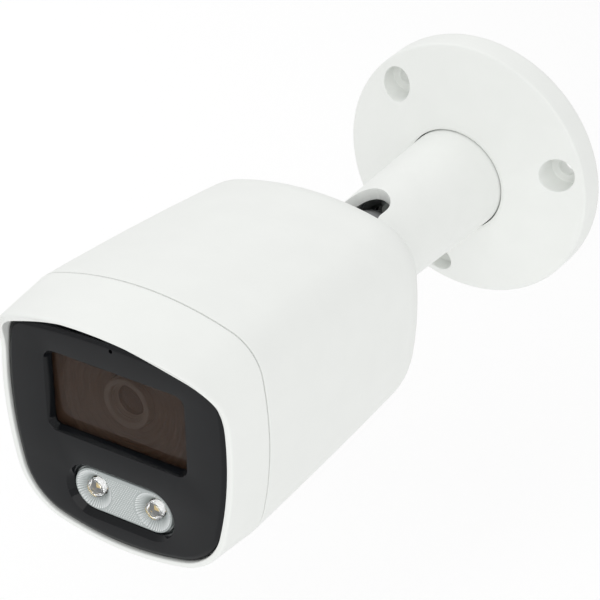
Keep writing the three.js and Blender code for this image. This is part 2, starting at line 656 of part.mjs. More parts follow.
function lightOptic() {
  const back = panel.thick + GAP;
  const flange = deepSkin([back, back + optic.thick].map((d) => [d, lightOpening(optic.flange)]));
  const raisedBy = -optic.inset - GAP;
  const raised = deepSkin([
    [0.8, lightOpening(raisedBy - 0.5)], [1.2, lightOpening(raisedBy)],
    [back + 0.1, lightOpening(raisedBy)],
  ]);
  const cups = [-1, 1].map((side) =>
    deepRing(3, 0, back + 0.5, back + optic.thick + 1, 24)
      .translate((side * lightWindow.pitch) / 2, 0, lightWindow.z));
  return cut(join(flange, raised), ...cups);
}

function lensBaffle() {
  const front = lens.front - 0.1;
  const outline = roundedRect(-lensWindow.half - baffle.margin, lensWindow.half + baffle.margin,
    lensWindow.low - baffle.margin, lensWindow.high + baffle.margin, 2);
  const steps = Array.from({ length: baffle.steps }, (_, i) => {
    const radius = lens.radius + 1.4 + baffle.pitch * (baffle.steps - i);
    return deepRing(radius, 0, front - 1, front + baffle.rise * (i + 1), ROUND)
      .translate(0, 0, opticAxis);
  });
  const bore = deepRing(lens.radius + GAP, 0, 0, 20, 24).translate(0, 0, opticAxis);
  return cut(deepSlab(outline, front, front + baffle.thick, 4), ...steps, bore);
}

function addFront() {
  add(face, 'front_panel', frontPanel(), blackGloss);
  add(face, 'panel_gasket', panelGasket(), rubber);
  const glassNear = panel.thick + GAP;
  const pane = roundedRect(-lensWindow.half - 1, lensWindow.half + 1, lensWindow.low - 1,
    lensWindow.high + 1, lensWindow.corner);
  add(face, 'window_glass', deepSlab(pane, glassNear, glassNear + 1.3, 4), smokedGlass);
  add(face, 'light_optic', lightOptic(), clearPlastic);
  add(face, 'lens_baffle', lensBaffle(), blackPlastic);
  const mic = deepRing(microphone.radius, 0, panel.thick + GAP, panel.thick + GAP + microphone.length);
  add(face, 'microphone', mic.translate(0, 0, microphone.z), darkMetal);
}

// ---------------------------------------------------------------- lens, lights and boards
function lensBarrel() {
  const { radius, thread, front, ring: head, length, glass: clear } = lens;
  return turned([
    [clear + 1.2, -front], [radius, -front], [radius, -front - head], [thread, -front - head],
    [thread, -front - length], [2.6, -front - length], [2.6, -front - 4],
    [clear + GAP, -front - 4], [clear + GAP, -front - 1.1], [clear + 1.2, -front],
  ], 40);
}

function frontElement() {
  const { front, glass: radius } = lens;
  const bulge = Array.from({ length: 6 }, (_, i) => {
    const t = i / 5;
    return [radius * t, -front - 1.2 - 0.9 * t * t];
  });
  return turned([...bulge, [radius, -front - 3.4], [0, -front - 3.4]], 24);
}

function lensHolder() {
  const near = chassis.depth + chassis.thick + GAP;
  const back = board.sensorDepth - GAP;
  const { wall, foot: wide, footThick, wellWide, wellHigh } = holder;
  const tube = deepRing(lens.thread + wall, 0, near, back - 1, 24);
  const foot = new THREE.BoxGeometry(wide, footThick, wide).translate(0, back - footThick / 2, 0);
  const bore = deepRing(lens.thread + GAP, 0, 0, back - 1.6, 24);
  const well = new THREE.BoxGeometry(wellWide, 4, wellHigh).translate(0, back, 0);
  return cut(join(tube, foot), bore, well);
}

function circuitBoard(half, depth, holes) {
  const outline = roundedRect(-half, half, opticAxis - half, opticAxis + half,
    board.corner);
  const drilled = holes.map(([x, z]) =>
    deepRing(board.screw + GAP, 0, 0, 60, 12).translate(x, 0, z));
  return cut(deepSlab(outline, depth, depth + board.thick, 3), ...drilled);
}

const posts = [[-1, 1], [1, 1], [1, -1], [-1, -1]].map(([x, z]) =>
  [x * board.post, opticAxis + z * board.post]);

function heatSink(depth) {
  const { wide, plate: base, fins: count, finThick, finHigh, finPitch } = sink;
  const plate = new THREE.BoxGeometry(wide, base, wide).translate(0, depth + base / 2, 0);
  const fins = Array.from({ length: count }, (_, i) =>
    new THREE.BoxGeometry(finThick, finHigh, wide)
      .translate((i - (count - 1) / 2) * finPitch, depth + base + finHigh / 2 - 0.6, 0));
  return join(plate, ...fins);
}

function addLens() {
  const onAxis = (geometry) => geometry.translate(0, 0, opticAxis);
  add(face, 'lens_barrel', onAxis(lensBarrel()), darkMetal);
  add(face, 'lens_front_glass', onAxis(frontElement()), glass);
  add(face, 'lens_holder', onAxis(lensHolder()), blackPlastic);
  const chipFar = board.sensorDepth - GAP / 2;
  add(face, 'image_sensor', onAxis(new THREE.BoxGeometry(sensor.wide, sensor.thick, sensor.high)
    .translate(0, chipFar - sensor.thick / 2, 0)), glass);
}

function addLights() {
  const { depth, pitch, radius, screwAt } = lightBoard;
  const holes = [-1, 1].map((side) =>
    deepRing(board.screw + GAP, 0, 0, 20, 12).translate(side * screwAt, 0, lightWindow.z));
  const outline = deepSlab(stadium(pitch, radius, lightWindow.z), depth, depth + board.thick, 8);
  add(face, 'light_board', cut(outline, ...holes), aluminium);
  [[-1, 'left'], [1, 'right']].forEach(([side, word]) => {
    const x = (side * lightWindow.pitch) / 2;
    const body = new THREE.BoxGeometry(light.wide, light.thick, light.wide)
      .translate(x, depth - GAP / 2 - light.thick / 2, lightWindow.z);
    add(face, `light_${word}`, body, phosphor);
    const bolt = screw(board.screw, -(depth - GAP - smallHead), -lightBoard.screwLength, 12);
    add(face, `light_board_screw_${word}`,
      bolt.translate(side * screwAt, 0, lightWindow.z), steel);
  });
}

function chassisPlate() {
  const { depth, thick } = chassis;
  const outline = sectionPoints(frontShellSection(faceAt - depth), -cavityInset - 0.6);
  const plate = deepSkin([[depth, outline], [depth + thick, outline]]);
  const lensHole = deepRing(lens.thread + holder.wall + 0.8, 0, 0, 20, 24).translate(0, 0, opticAxis);
  const screwPlaces = [...lugScrews, [-lightBoard.screwAt, lightWindow.z],
    [lightBoard.screwAt, lightWindow.z]];
  const holes = screwPlaces.map(([x, z]) =>
    deepRing(board.screw + GAP, 0, 0, 20, 12).translate(x, 0, z));
  const driver = bossPlaces().map(([x, z]) =>
    deepRing(boss.radius, 0, 0, 20, SMALL_ROUND).translate(x, 0, z));
  return cut(plate, lensHole, ...holes, ...driver);
}

function addBoards() {
  add(face, 'chassis', chassisPlate(), blackPlastic);
  const plateBack = chassis.depth + chassis.thick;
  lugScrews.forEach(([x, z], i) => {
    const bolt = screw(board.screw, -(chassis.depth - GAP - smallHead), -board.lugScrewLength, 12);
    add(face, `chassis_screw_${i + 1}`, bolt.translate(x, 0, z), steel);
  });
  add(face, 'sensor_board', circuitBoard(board.half, board.sensorDepth, posts), boardGreen);
  add(face, 'main_board', circuitBoard(board.half, board.mainDepth, posts), boardGreen);
  const sensorBack = board.sensorDepth + board.thick;
  const mainBack = board.mainDepth + board.thick;
  posts.forEach(([x, z], i) => {
    const front = deepRing(board.spacer, 0, plateBack + GAP, board.sensorDepth - GAP, 6);
    add(face, `front_spacer_${i + 1}`, front.translate(x, 0, z), brass);
    const rear = cut(deepRing(board.spacer, 0, sensorBack + GAP, board.mainDepth - GAP, 6),
      deepRing(board.screw + GAP, 0, mainBack - 6, mainBack, 12));
    add(face, `rear_spacer_${i + 1}`, rear.translate(x, 0, z), brass);
    const bolt = screw(board.screw, -(mainBack + GAP + smallHead), board.screwLength, 12);
    add(face, `board_screw_${i + 1}`, bolt.translate(x, 0, z), steel);
  });
  const processor = new THREE.BoxGeometry(chip.wide, chip.thick, chip.wide)
    .translate(0, mainBack + GAP + chip.thick / 2, opticAxis);
  add(face, 'processor', processor, blackPlastic);
  const sinkNear = mainBack + 2 * GAP + chip.thick;
  add(face, 'heat_sink', heatSink(sinkNear).translate(0, 0, opticAxis), aluminium);
}

addWallBase();
addArmAndKnuckle();
addShells();
addFront();
addLens();
addLights();
addBoards();

export default group;
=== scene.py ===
"""Security camera on a wall bracket: fine pieces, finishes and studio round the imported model."""
import json
import math
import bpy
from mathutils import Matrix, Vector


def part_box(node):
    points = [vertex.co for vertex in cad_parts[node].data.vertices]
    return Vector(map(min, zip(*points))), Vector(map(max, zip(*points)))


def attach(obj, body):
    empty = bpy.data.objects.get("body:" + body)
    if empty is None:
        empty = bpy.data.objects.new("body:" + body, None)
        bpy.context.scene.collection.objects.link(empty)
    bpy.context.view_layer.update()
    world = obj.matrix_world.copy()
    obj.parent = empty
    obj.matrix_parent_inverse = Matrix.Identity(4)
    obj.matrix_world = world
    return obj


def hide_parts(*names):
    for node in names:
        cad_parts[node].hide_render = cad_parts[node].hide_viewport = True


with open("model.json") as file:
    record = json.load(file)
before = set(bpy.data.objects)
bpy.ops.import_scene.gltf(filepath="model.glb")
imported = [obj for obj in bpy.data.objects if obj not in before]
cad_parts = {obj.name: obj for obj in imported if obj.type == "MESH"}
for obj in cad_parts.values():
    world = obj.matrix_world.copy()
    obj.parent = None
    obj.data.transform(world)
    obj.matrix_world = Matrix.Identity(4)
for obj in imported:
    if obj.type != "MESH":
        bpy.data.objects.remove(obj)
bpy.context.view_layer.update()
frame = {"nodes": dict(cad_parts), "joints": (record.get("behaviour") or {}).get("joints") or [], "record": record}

from types import SimpleNamespace

import bmesh
import bpy
import numpy as np
from mathutils import Matrix, Vector
from mathutils.geometry import delaunay_2d_cdt

bl_info = {
    "name": "Bullet Security Camera",
    "version": (1, 0, 0),
    "blender": (4, 5, 0),
    "location": "View3D > Sidebar > Security Camera",
    "description": "Builds a small bullet camera on a three-axis wall bracket",
    "category": "Add Mesh",
}

MM = 0.001

# ------------------------------------------------------------------ places taken from the frame
JOINTS = {joint["name"]: joint for joint in frame["joints"]}


def reach(node, end):
    """A node's nearest (1) or farthest (0) distance from the wall, in millimetres."""
    return -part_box(node)[end].y / MM


KNUCKLE = -JOINTS["tilt"]["pos_m"][1] / MM
ARM_TURN = -math.atan2(-JOINTS["tilt"]["axis"][2], -JOINTS["tilt"]["axis"][0])
HUB_FRONT = reach("wall_base", 0)
REAR_FACE = reach("rear_housing", 1)
SEAM = reach("rear_housing", 0)
OPTIC_AXIS = 9.67                 # height of the lens above the arm's axis
FACE_LEAN = math.radians(1.69)    # the panel leans back by this angle

# ------------------------------------------------------------------ outlines, in millimetres
# Each outline is five tangent arcs a side: top, top corner, side, bottom corner, bottom.
SEAM_OUTLINE = dict(half=32.3, widest=8.5, side_r=90, top=35.2, top_r=76, top_corner=11.3,
                    bottom=-27.7, bottom_r=70, bottom_corner=16.5)
FRONT_OUTLINE = dict(half=30.8, widest=7.5, side_r=88, top=35.5, top_r=53, top_corner=14,
                     bottom=-26.3, bottom_r=70, bottom_corner=15.8)
REAR_OUTLINE = dict(half=29.8, widest=7.2, side_r=90, top=27.9, top_r=74, top_corner=14.6,
                    bottom=-28, bottom_r=74, bottom_corner=24)
LIP_OUTLINE = dict(half=29.95, widest=8.2, side_r=86.7, top=28.4, top_r=120, top_corner=6,
                   bottom=-25.5, bottom_r=68.5, bottom_corner=14.5)
TIP_OUTLINE = dict(half=29.95, widest=8.2, side_r=86.7, top=34.3, top_r=50, top_corner=12,
                   bottom=-25.5, bottom_r=68.5, bottom_corner=14.5)
FACE_OUTLINE = dict(half=28.5, widest=8.2, side_r=88, top=25.6, top_r=190, top_corner=3,
                    bottom=-24.1, bottom_r=67, bottom_corner=13)
ARC_STEPS = (14, 16, 16, 18, 12)
FACE_AT = reach("front_panel", 0) + math.tan(FACE_LEAN) * FACE_OUTLINE["bottom"]
FACE_MATRIX = Matrix.Translation((0, -FACE_AT * MM, 0)) @ Matrix.Rotation(-FACE_LEAN, 4, "X")
ARM_MATRIX = Matrix.Rotation(ARM_TURN, 4, "Y")


def corner_centre(a, radius_a, b, radius_b, corner, up):
    """Centre of the corner arc that touches two larger arcs from inside."""
    ra, rb = radius_a - corner, radius_b - corner
    line = b - a
    distance = line.length
    along = (ra * ra - rb * rb + distance * distance) / (2 * distance)
    off = math.sqrt(max(ra * ra - along * along, 0))
    line.normalize()
    foot = a + line * along
    side = Vector((-line.y, line.x))
    return max((foot + side * off, foot - side * off), key=lambda p: p.x + up * p.y)


def outline(s, grow=0.0):
    """The points (x, z) of an outline, clockwise from the middle of the top."""
    top = Vector((0, s["top"] - s["top_r"]))
    side = Vector((s["half"] - s["side_r"], s["widest"]))
    low = Vector((0, s["bottom"] + s["bottom_r"]))
    upper = corner_centre(top, s["top_r"], side, s["side_r"], s["top_corner"], 1)
    lower = corner_centre(low, s["bottom_r"], side, s["side_r"], s["bottom_corner"], -1)

    def bearing(a, b):
        return math.atan2(b.y - a.y, b.x - a.x)

    stops = (math.pi / 2, bearing(top, upper), bearing(side, upper), bearing(side, lower),
             bearing(low, lower), -math.pi / 2)
    arcs = ((top, s["top_r"]), (upper, s["top_corner"]), (side, s["side_r"]),
            (lower, s["bottom_corner"]), (low, s["bottom_r"]))
    right = []
    for i, (centre, radius) in enumerate(arcs):
        angles = np.linspace(stops[i], stops[i + 1], ARC_STEPS[i] + 1)[0 if i == 0 else 1:]
        right += [(centre.x + (radius + grow) * math.cos(a),
                   centre.y + (radius + grow) * math.sin(a)) for a in angles]
    left = [(-x, z) for x, z in reversed(right[1:-1])]
    return np.array(right + left)


def blend(a, b, t):
    """Outline values part of the way from a to b."""
    return {key: a[key] + (b[key] - a[key]) * t for key in a}


def rounded_rect(half, low, high, corner, steps=8):
    """Points (x, z) of a rectangle with round corners, anticlockwise."""
    points = []
    spots = ((half - corner, low + corner, -90), (half - corner, high - corner, 0),
             (corner - half, high - corner, 90), (corner - half, low + corner, 180))
    for x, z, start in spots:
        for angle in np.radians(np.linspace(start, start + 90, steps + 1)):
            points.append((x + corner * math.cos(angle), z + corner * math.sin(angle)))
    return np.array(points)


def stadium(pitch, radius, z, steps=24):
    """Points (x, z) of a slot with round ends, anticlockwise."""
    points = []
    for side, start in ((1, -90), (-1, 90)):
        for angle in np.radians(np.linspace(start, start + 180, steps + 1)):
            points.append((side * pitch / 2 + radius * math.cos(angle),
                           z + radius * math.sin(angle)))
    return np.array(points)


def circle(radius, x=0.0, z=0.0, sides=32):
    """Points (x, z) of a circle, anticlockwise."""
    angles = np.linspace(0, 2 * math.pi, sides, endpoint=False)
    return np.stack([x + radius * np.cos(angles), z + radius * np.sin(angles)], 1)


# ------------------------------------------------------------------ mesh helpers
def make_object(name, verts, faces, crease=40):
    """A shaded mesh object from millimetre vertices, closed and with its faces outwards."""
    mesh = bpy.data.meshes.new(name)
    mesh.from_pydata([tuple(float(c) * MM for c in v) for v in verts], [], faces)
    obj = bpy.data.objects.new(name, mesh)
    bpy.context.scene.collection.objects.link(obj)
    clean(mesh, crease)
    return obj


def clean(mesh, crease=40):
    """Merges doubles, turns faces outwards and smooths all but the creases."""
    bm = bmesh.new()
    bm.from_mesh(mesh)
    bmesh.ops.remove_doubles(bm, verts=bm.verts, dist=2e-6)
    bmesh.ops.dissolve_degenerate(bm, edges=bm.edges, dist=1e-7)
    bmesh.ops.recalc_face_normals(bm, faces=bm.faces)
    bm.to_mesh(mesh)
    bm.free()
    mesh.shade_smooth()
    mesh.set_sharp_from_angle(angle=math.radians(crease))


def level(points, distance):
    """A row of (x, z) points at one distance from the wall."""
    return np.stack([points[:, 0], np.broadcast_to(-np.asarray(distance), len(points)),
                     points[:, 1]], 1)


def deep(points, depth):
    """A row of (x, z) points at one depth behind the panel's face."""
    return np.stack([points[:, 0], np.broadcast_to(depth, len(points)), points[:, 1]], 1)


def loft(name, rows, looped=True, crease=40):
    """A skin through rows of equal length; looped joins the last row to the first."""
    count = len(rows[0])
    verts = np.concatenate(rows)
    faces = []
    for i in range(len(rows) if looped else len(rows) - 1):
        a, b = i * count, (i + 1) % len(rows) * count
        for j in range(count):
            k = (j + 1) % count
            faces.append((a + j, a + k, b + k, b + j))
    if not looped:
        faces += [tuple(range(count)), tuple(range(len(verts) - count, len(verts)))]
    return make_object(name, verts, faces, crease)


def turned(name, profile, sides=96, centre=(0, 0), crease=30):
    """A solid turned about Y through centre (x, z); profile points are (radius, y)."""
    x, z = centre
    rows = [deep(circle(max(radius, 1e-4), x, z, sides), y) for radius, y in profile]
    solid = profile[0][0] == 0 and profile[-1][0] == 0
    return loft(name, rows, not solid, crease)


def arc(centre, radius, start, end, steps=5):
    """Profile points on an arc, in degrees."""
    return [(centre[0] + radius * math.cos(math.radians(a)),
             centre[1] + radius * math.sin(math.radians(a)))
            for a in np.linspace(start, end, steps + 1)]


def inside(points, loop):
    """Which points lie within a closed loop."""
    x, y = points[:, 0][:, None], points[:, 1][:, None]
    ax, ay = loop[:, 0][None], loop[:, 1][None]
    bx, by = np.roll(loop[:, 0], -1)[None], np.roll(loop[:, 1], -1)[None]
    crosses = ((ay > y) != (by > y)) & (x < (bx - ax) * (y - ay) / (by - ay + 1e-12) + ax)
    return crosses.sum(1) % 2 == 1


def sheet_faces(outer, holes):
    """Triangles that fill an outer loop round its holes, over the loops' own points."""
    loops = [outer, *holes]
    points = np.concatenate(loops)
    edges, start = [], 0
    for loop in loops:
        size = len(loop)
        edges += [(start + i, start + (i + 1) % size) for i in range(size)]
        start += size
    found = delaunay_2d_cdt([Vector(p) for p in points], edges, [], 0, 1e-5)
    places, triangles, origins = found[0], found[2], found[3]
    middle = np.array([np.mean([places[i] for i in t], axis=0) for t in triangles])
    keep = inside(middle, outer)
    for hole in holes:
        keep &= ~inside(middle, hole)
    back = [origin[0] for origin in origins]
    return [tuple(back[i] for i in t) for t, wanted in zip(triangles, keep) if wanted]


def plate(name, outer_rows, hole_rows, crease=35):
    """A plate: rows of its outer wall and of each hole's wall, from front to back."""
    verts, faces, fronts, backs = [], [], [], []
    start = 0
    for rows in (outer_rows, *hole_rows):
        count = len(rows[0])
        verts += [np.concatenate(rows)]
        for i in range(len(rows) - 1):
            a = start + i * count
            for j in range(count):
                k = (j + 1) % count
                faces.append((a + j, a + k, a + count + k, a + count + j))
        fronts.append(np.arange(start, start + count))
        start += len(rows) * count
        backs.append(np.arange(start - count, start))
    verts = np.concatenate(verts)
    for ends in (fronts, backs):
        index = np.concatenate(ends)
        loops = [verts[e][:, [0, 2]] for e in ends]
        faces += [tuple(int(index[i]) for i in t) for t in sheet_faces(loops[0], loops[1:])]
    return make_object(name, verts, faces, crease)


def settle(obj):
    """Turns an object's modifiers into plain mesh."""
    graph = bpy.context.evaluated_depsgraph_get()
    mesh = bpy.data.meshes.new_from_object(obj.evaluated_get(graph))
    obj.modifiers.clear()
    obj.data = mesh


def carve(obj, cutters):
    """Cuts the cutters out of obj."""
    for cutter in cutters:
        tool = obj.modifiers.new("cut", "BOOLEAN")
        tool.operation = "DIFFERENCE"
        tool.solver = "EXACT"
        tool.object = cutter
        settle(obj)
        bpy.data.objects.remove(cutter)


def soften(obj, width, angle=32, segments=3, crease=35):
    """Rounds the sharp edges of a cut piece."""
    tool = obj.modifiers.new("edge", "BEVEL")
    tool.width = width * MM
    tool.segments = segments
    tool.limit_method = "ANGLE"
    tool.angle_limit = math.radians(angle)
    tool.use_clamp_overlap = False
    tool.harden_normals = False
    settle(obj)
    clean(obj.data, crease)


def hand_over(obj, body, slot, material, *nodes, matrix=None):
    """Gives a finished piece its finish and its body, and hides the CAD nodes it stands for."""
    if matrix is not None:
        obj.data.transform(matrix)
    obj.data.materials.clear()
    obj.data.materials.append(material)
    if nodes:
        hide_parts(*nodes)
    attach(obj, body)


# ------------------------------------------------------------------ geometry node trees
def add(tree, kind, links=None, **settings):
    """Adds a node, sets its properties, then sets or links its inputs."""
    node = tree.nodes.new(kind)
    for key, value in settings.items():
        setattr(node, key, value)
    for key, value in (links or {}).items():
        if isinstance(value, bpy.types.NodeSocket):
            tree.links.new(value, node.inputs[key])
        else:
            node.inputs[key].default_value = value
    return node


def node_group(name, sockets):
    """An empty geometry tree with the given named inputs and one geometry output."""
    tree = bpy.data.node_groups.new(name, "GeometryNodeTree")
    for label, kind in sockets:
        tree.interface.new_socket(label, in_out="INPUT", socket_type=kind)
    tree.interface.new_socket("Geometry", in_out="OUTPUT", socket_type="NodeSocketGeometry")
    return tree, tree.nodes.new("NodeGroupInput"), tree.nodes.new("NodeGroupOutput")


def round_axis_tree():
    """Copies one piece a number of times round an axis along Y."""
    tree, given, out = node_group("repeat_round_axis", (
        ("Piece", "NodeSocketObject"), ("Count", "NodeSocketInt"),
        ("Centre", "NodeSocketVector"), ("Material", "NodeSocketMaterial")))
    info = add(tree, "GeometryNodeObjectInfo", {"Object": given.outputs["Piece"]})
    line = add(tree, "GeometryNodeMeshLine", {"Count": given.outputs["Count"],
                                              "Offset": (0, 0, 0)})
    copies = add(tree, "GeometryNodeInstanceOnPoints", {
        "Points": line.outputs["Mesh"], "Instance": info.outputs["Geometry"]})
    step = add(tree, "ShaderNodeMath", {0: 2 * math.pi, 1: given.outputs["Count"]},
               operation="DIVIDE")
    index = add(tree, "GeometryNodeInputIndex")
    turn = add(tree, "ShaderNodeMath", {0: index.outputs[0], 1: step.outputs[0]},
               operation="MULTIPLY")
    angles = add(tree, "ShaderNodeCombineXYZ", {"Y": turn.outputs[0]})
    placed = add(tree, "GeometryNodeRotateInstances", {
        "Instances": copies.outputs[0], "Rotation": angles.outputs[0],
        "Pivot Point": given.outputs["Centre"], "Local Space": False})
    solid = add(tree, "GeometryNodeRealizeInstances", {"Geometry": placed.outputs[0]})
    painted = add(tree, "GeometryNodeSetMaterial", {
        "Geometry": solid.outputs[0], "Material": given.outputs["Material"]})
    tree.links.new(painted.outputs[0], out.inputs[0])
    return tree


def prism_tree():
    """Stands a piece on every point of a sheet of points."""
    tree, given, out = node_group("prism_sheet", (
        ("Sheet", "NodeSocketObject"), ("Piece", "NodeSocketObject"),
        ("Material", "NodeSocketMaterial")))
    sheet = add(tree, "GeometryNodeObjectInfo", {"Object": given.outputs["Sheet"]})
    info = add(tree, "GeometryNodeObjectInfo", {"Object": given.outputs["Piece"]})
    copies = add(tree, "GeometryNodeInstanceOnPoints", {
        "Points": sheet.outputs["Geometry"], "Instance": info.outputs["Geometry"]})
    solid = add(tree, "GeometryNodeRealizeInstances", {"Geometry": copies.outputs[0]})
    painted = add(tree, "GeometryNodeSetMaterial", {
        "Geometry": solid.outputs[0], "Material": given.outputs["Material"]})
    tree.links.new(painted.outputs[0], out.inputs[0])
    return tree


def grow_tree(name, tree, inputs):
    """An object made by a geometry tree with the named inputs, turned into plain mesh."""
    obj = bpy.data.objects.new(name, bpy.data.meshes.new(name))
    bpy.context.scene.collection.objects.link(obj)
    maker = obj.modifiers.new("maker", "NODES")
    maker.node_group = tree
    for item in tree.interface.items_tree:
        if item.in_out == "INPUT":
            maker[item.identifier] = inputs[item.name]
    settle(obj)
    for value in inputs.values():
        if isinstance(value, bpy.types.Object):
            bpy.data.objects.remove(value)
    return obj


def repeat_round(name, piece, count, centre, material):
    """The piece copied round an axis along Y through centre (x, z), in millimetres."""
    tree = bpy.data.node_groups.get("repeat_round_axis") or round_axis_tree()
    return grow_tree(name, tree, {
        "Piece": piece, "Count": count,
        "Centre": (centre[0] * MM, 0.0, centre[1] * MM), "Material": material})


def merge(name, objects):
    """One object that holds the meshes of several."""
    bm = bmesh.new()
    for obj in objects:
        bm.from_mesh(obj.data)
    mesh = bpy.data.meshes.new(name)
    bm.to_mesh(mesh)
    bm.free()
    whole = bpy.data.objects.new(name, mesh)
    bpy.context.scene.collection.objects.link(whole)
    for obj in objects:
        bpy.data.objects.remove(obj)
    mesh.shade_smooth()
    mesh.set_sharp_from_angle(angle=math.radians(35))
    return whole


# ------------------------------------------------------------------ finishes
# Base colours, as sRGB hex. Each "shade" is what its finish wanders to.
COLOURS = SimpleNamespace(
    white="#eef0ed", white_shade="#e9ebe8",
    black="#0d0e10", black_shade="#121417",
    inner_black="#1d1c1b",
    baffle="#5a534c", baffle_shade="#4f4842",
    tint="#3f2c20", tint_shade="#3b291d",
    # The optic's valley colour is painted shade for the hollows between its flutes and prisms.
    optic="#f8fafa", optic_shade="#e9eded", optic_valley="#aab1b0", clear="#ffffff",
    lens_black="#7a746d", lens_black_shade="#6f6963",
    dark_metal="#8b8c8e", dark_metal_shade="#6d6e70",
    steel="#b6b8ba", steel_shade="#9ea1a4",
    brass="#b48a45", brass_shade="#96702f",
    aluminium="#c6c8ca", aluminium_shade="#b2b5b8",
    rubber="#161616",
    board="#1d5a38", board_track="#2c7a4c",
    glass="#262320", glass_shade="#1d2022",
    phosphor="#f0cf5a", phosphor_shade="#dcae3a",
    paper="#ffffff")


def linear(hex_colour):
    """A linear RGBA colour from an sRGB hex string."""
    channels = [int(hex_colour[i:i + 2], 16) / 255 for i in (1, 3, 5)]
    return (*[c / 12.92 if c <= 0.04045 else ((c + 0.055) / 1.055) ** 2.4
              for c in channels], 1.0)


def material(name, colour, roughness, metallic=0.0, **sockets):
    """A Principled material; returns it with its tree, shader and object coordinates."""
    made = bpy.data.materials.new(name)
    made.use_nodes = True
    tree = made.node_tree
    shader = tree.nodes["Principled BSDF"]
    values = {"Base Color": linear(colour), "Roughness": roughness, "Metallic": metallic}
    values.update({key.replace("_", " "): value for key, value in sockets.items()})
    for key, value in values.items():
        shader.inputs[key].default_value = value
    place = add(tree, "ShaderNodeTexCoord").outputs["Object"]
    return made, tree, shader, place


def per_mm(size):
    """Texture scale that gives a feature of this size in millimetres."""
    return 1 / (size * MM)


def mottle(tree, shader, place, light, dark, size, roughness=None, detail=3.0):
    """Lets colour, and roughness if given, wander between two values."""
    noise = add(tree, "ShaderNodeTexNoise", {"Vector": place, "Scale": per_mm(size),
                                             "Detail": detail})
    mix = add(tree, "ShaderNodeMix", {"Factor": noise.outputs["Fac"], "A": linear(dark),
                                      "B": linear(light)}, data_type="RGBA")
    tree.links.new(mix.outputs["Result"], shader.inputs["Base Color"])
    if roughness:
        spread = add(tree, "ShaderNodeMapRange", {"Value": noise.outputs["Fac"],
                                                  "To Min": roughness[0],
                                                  "To Max": roughness[1]})
        tree.links.new(spread.outputs["Result"], shader.inputs["Roughness"])


def relief(tree, shader, height, depth_mm, strength=1.0):
    """Bumps the surface by a height from 0 to 1."""
    bump = add(tree, "ShaderNodeBump", {"Height": height, "Distance": depth_mm * MM,
                                        "Strength": strength})
    tree.links.new(bump.outputs["Normal"], shader.inputs["Normal"])


def grain(tree, place, size, detail=2.0, rough=0.5):
    """Fine noise as a height."""
    noise = add(tree, "ShaderNodeTexNoise", {"Vector": place, "Scale": per_mm(size),
                                             "Detail": detail, "Roughness": rough})
    return noise.outputs["Fac"]


def grained(name, colour, shade, patch, roughness, spread, texture, **sockets):
    """A finish that wanders in patches, under a texture given as size, depth and strength."""
    made, tree, shader, place = material(name, colour, roughness, **sockets)
    mottle(tree, shader, place, colour, shade, patch, spread)
    size, depth, strength = texture
    relief(tree, shader, grain(tree, place, size), depth, strength)
    return made


def powder_coat():
    """White polyester powder coat on die-cast aluminium: matt, with a fine orange peel."""
    return grained("powder_coat_white", COLOURS.white, COLOURS.white_shade, 9, 0.5,
                   (0.46, 0.58), (0.45, 0.012, 0.6), Coat_Weight=0.12, Coat_Roughness=0.35)


def gloss_acrylic():
    """Black acrylic panel, polished: deep, wet-looking, with hairline handling marks."""
    return grained("black_acrylic_polished", COLOURS.black, COLOURS.black_shade, 6, 0.05,
                   (0.05, 0.11), (3.0, 0.004, 0.2), Specular_IOR_Level=0.22)


def moulded_black():
    """Black ABS from a spark-eroded mould: matt, with a fine even texture."""
    return grained("moulded_abs_black", COLOURS.inner_black, COLOURS.black, 2, 0.55,
                   (0.45, 0.65), (0.25, 0.01, 0.7))


def baffle_plastic():
    """Grey moulded plastic behind the window: matt, light enough to show through the smoke."""
    return grained("moulded_abs_grey", COLOURS.baffle, COLOURS.baffle_shade, 4, 0.6,
                   (0.5, 0.7), (0.25, 0.01, 0.6))


def lens_black():
    """Anodised aluminium of the lens: satin, light enough to show through the smoke."""
    return grained("aluminium_anodised_black", COLOURS.lens_black, COLOURS.lens_black_shade, 3,
                   0.4, (0.35, 0.5), (0.4, 0.004, 0.3))


def tinted_window():
    """Smoked acrylic window: brown, glossy and partly see-through."""
    made, tree, shader, place = material(
        "smoked_acrylic_window", COLOURS.tint, 0.03, Alpha=0.4, Specular_IOR_Level=0.25)
    mottle(tree, shader, place, COLOURS.tint, COLOURS.tint_shade, 14)
    return made


def clear_optic():
    """Polycarbonate over a bright reflector, as a pale solid: glossy, with painted shade darkening the valleys
    between flutes and prisms.
    """
    made, tree, shader, place = material("polycarbonate_optic", COLOURS.optic, 0.12, 0.0,
                                         Coat_Weight=0.6, Coat_Roughness=0.03)
    mottle(tree, shader, place, COLOURS.optic, COLOURS.optic_shade, 0.8, (0.08, 0.2))
    base = shader.inputs["Base Color"].links[0].from_socket
    # The crest mask mixes in painted shade: the lower a point, the darker, so valleys between flutes and prisms
    # look shaded.
    crest_vs_painted_shade = add(tree, "ShaderNodeAttribute", attribute_name="crest_vs_painted_shade")
    valley_painted_shade = add(tree, "ShaderNodeMix", {"Factor": crest_vs_painted_shade.outputs["Fac"],
                                         "A": linear(COLOURS.optic_valley), "B": base},
                 data_type="RGBA")
    tree.links.new(valley_painted_shade.outputs["Result"], shader.inputs["Base Color"])
    return made


def clear_dome():
    """Clear polycarbonate dome over a lamp: glassy."""
    made, tree, shader, place = material(
        "polycarbonate_clear", COLOURS.optic, 0.03, Transmission_Weight=0.9, IOR=1.3)
    mottle(tree, shader, place, COLOURS.clear, COLOURS.optic, 1.5)
    return made


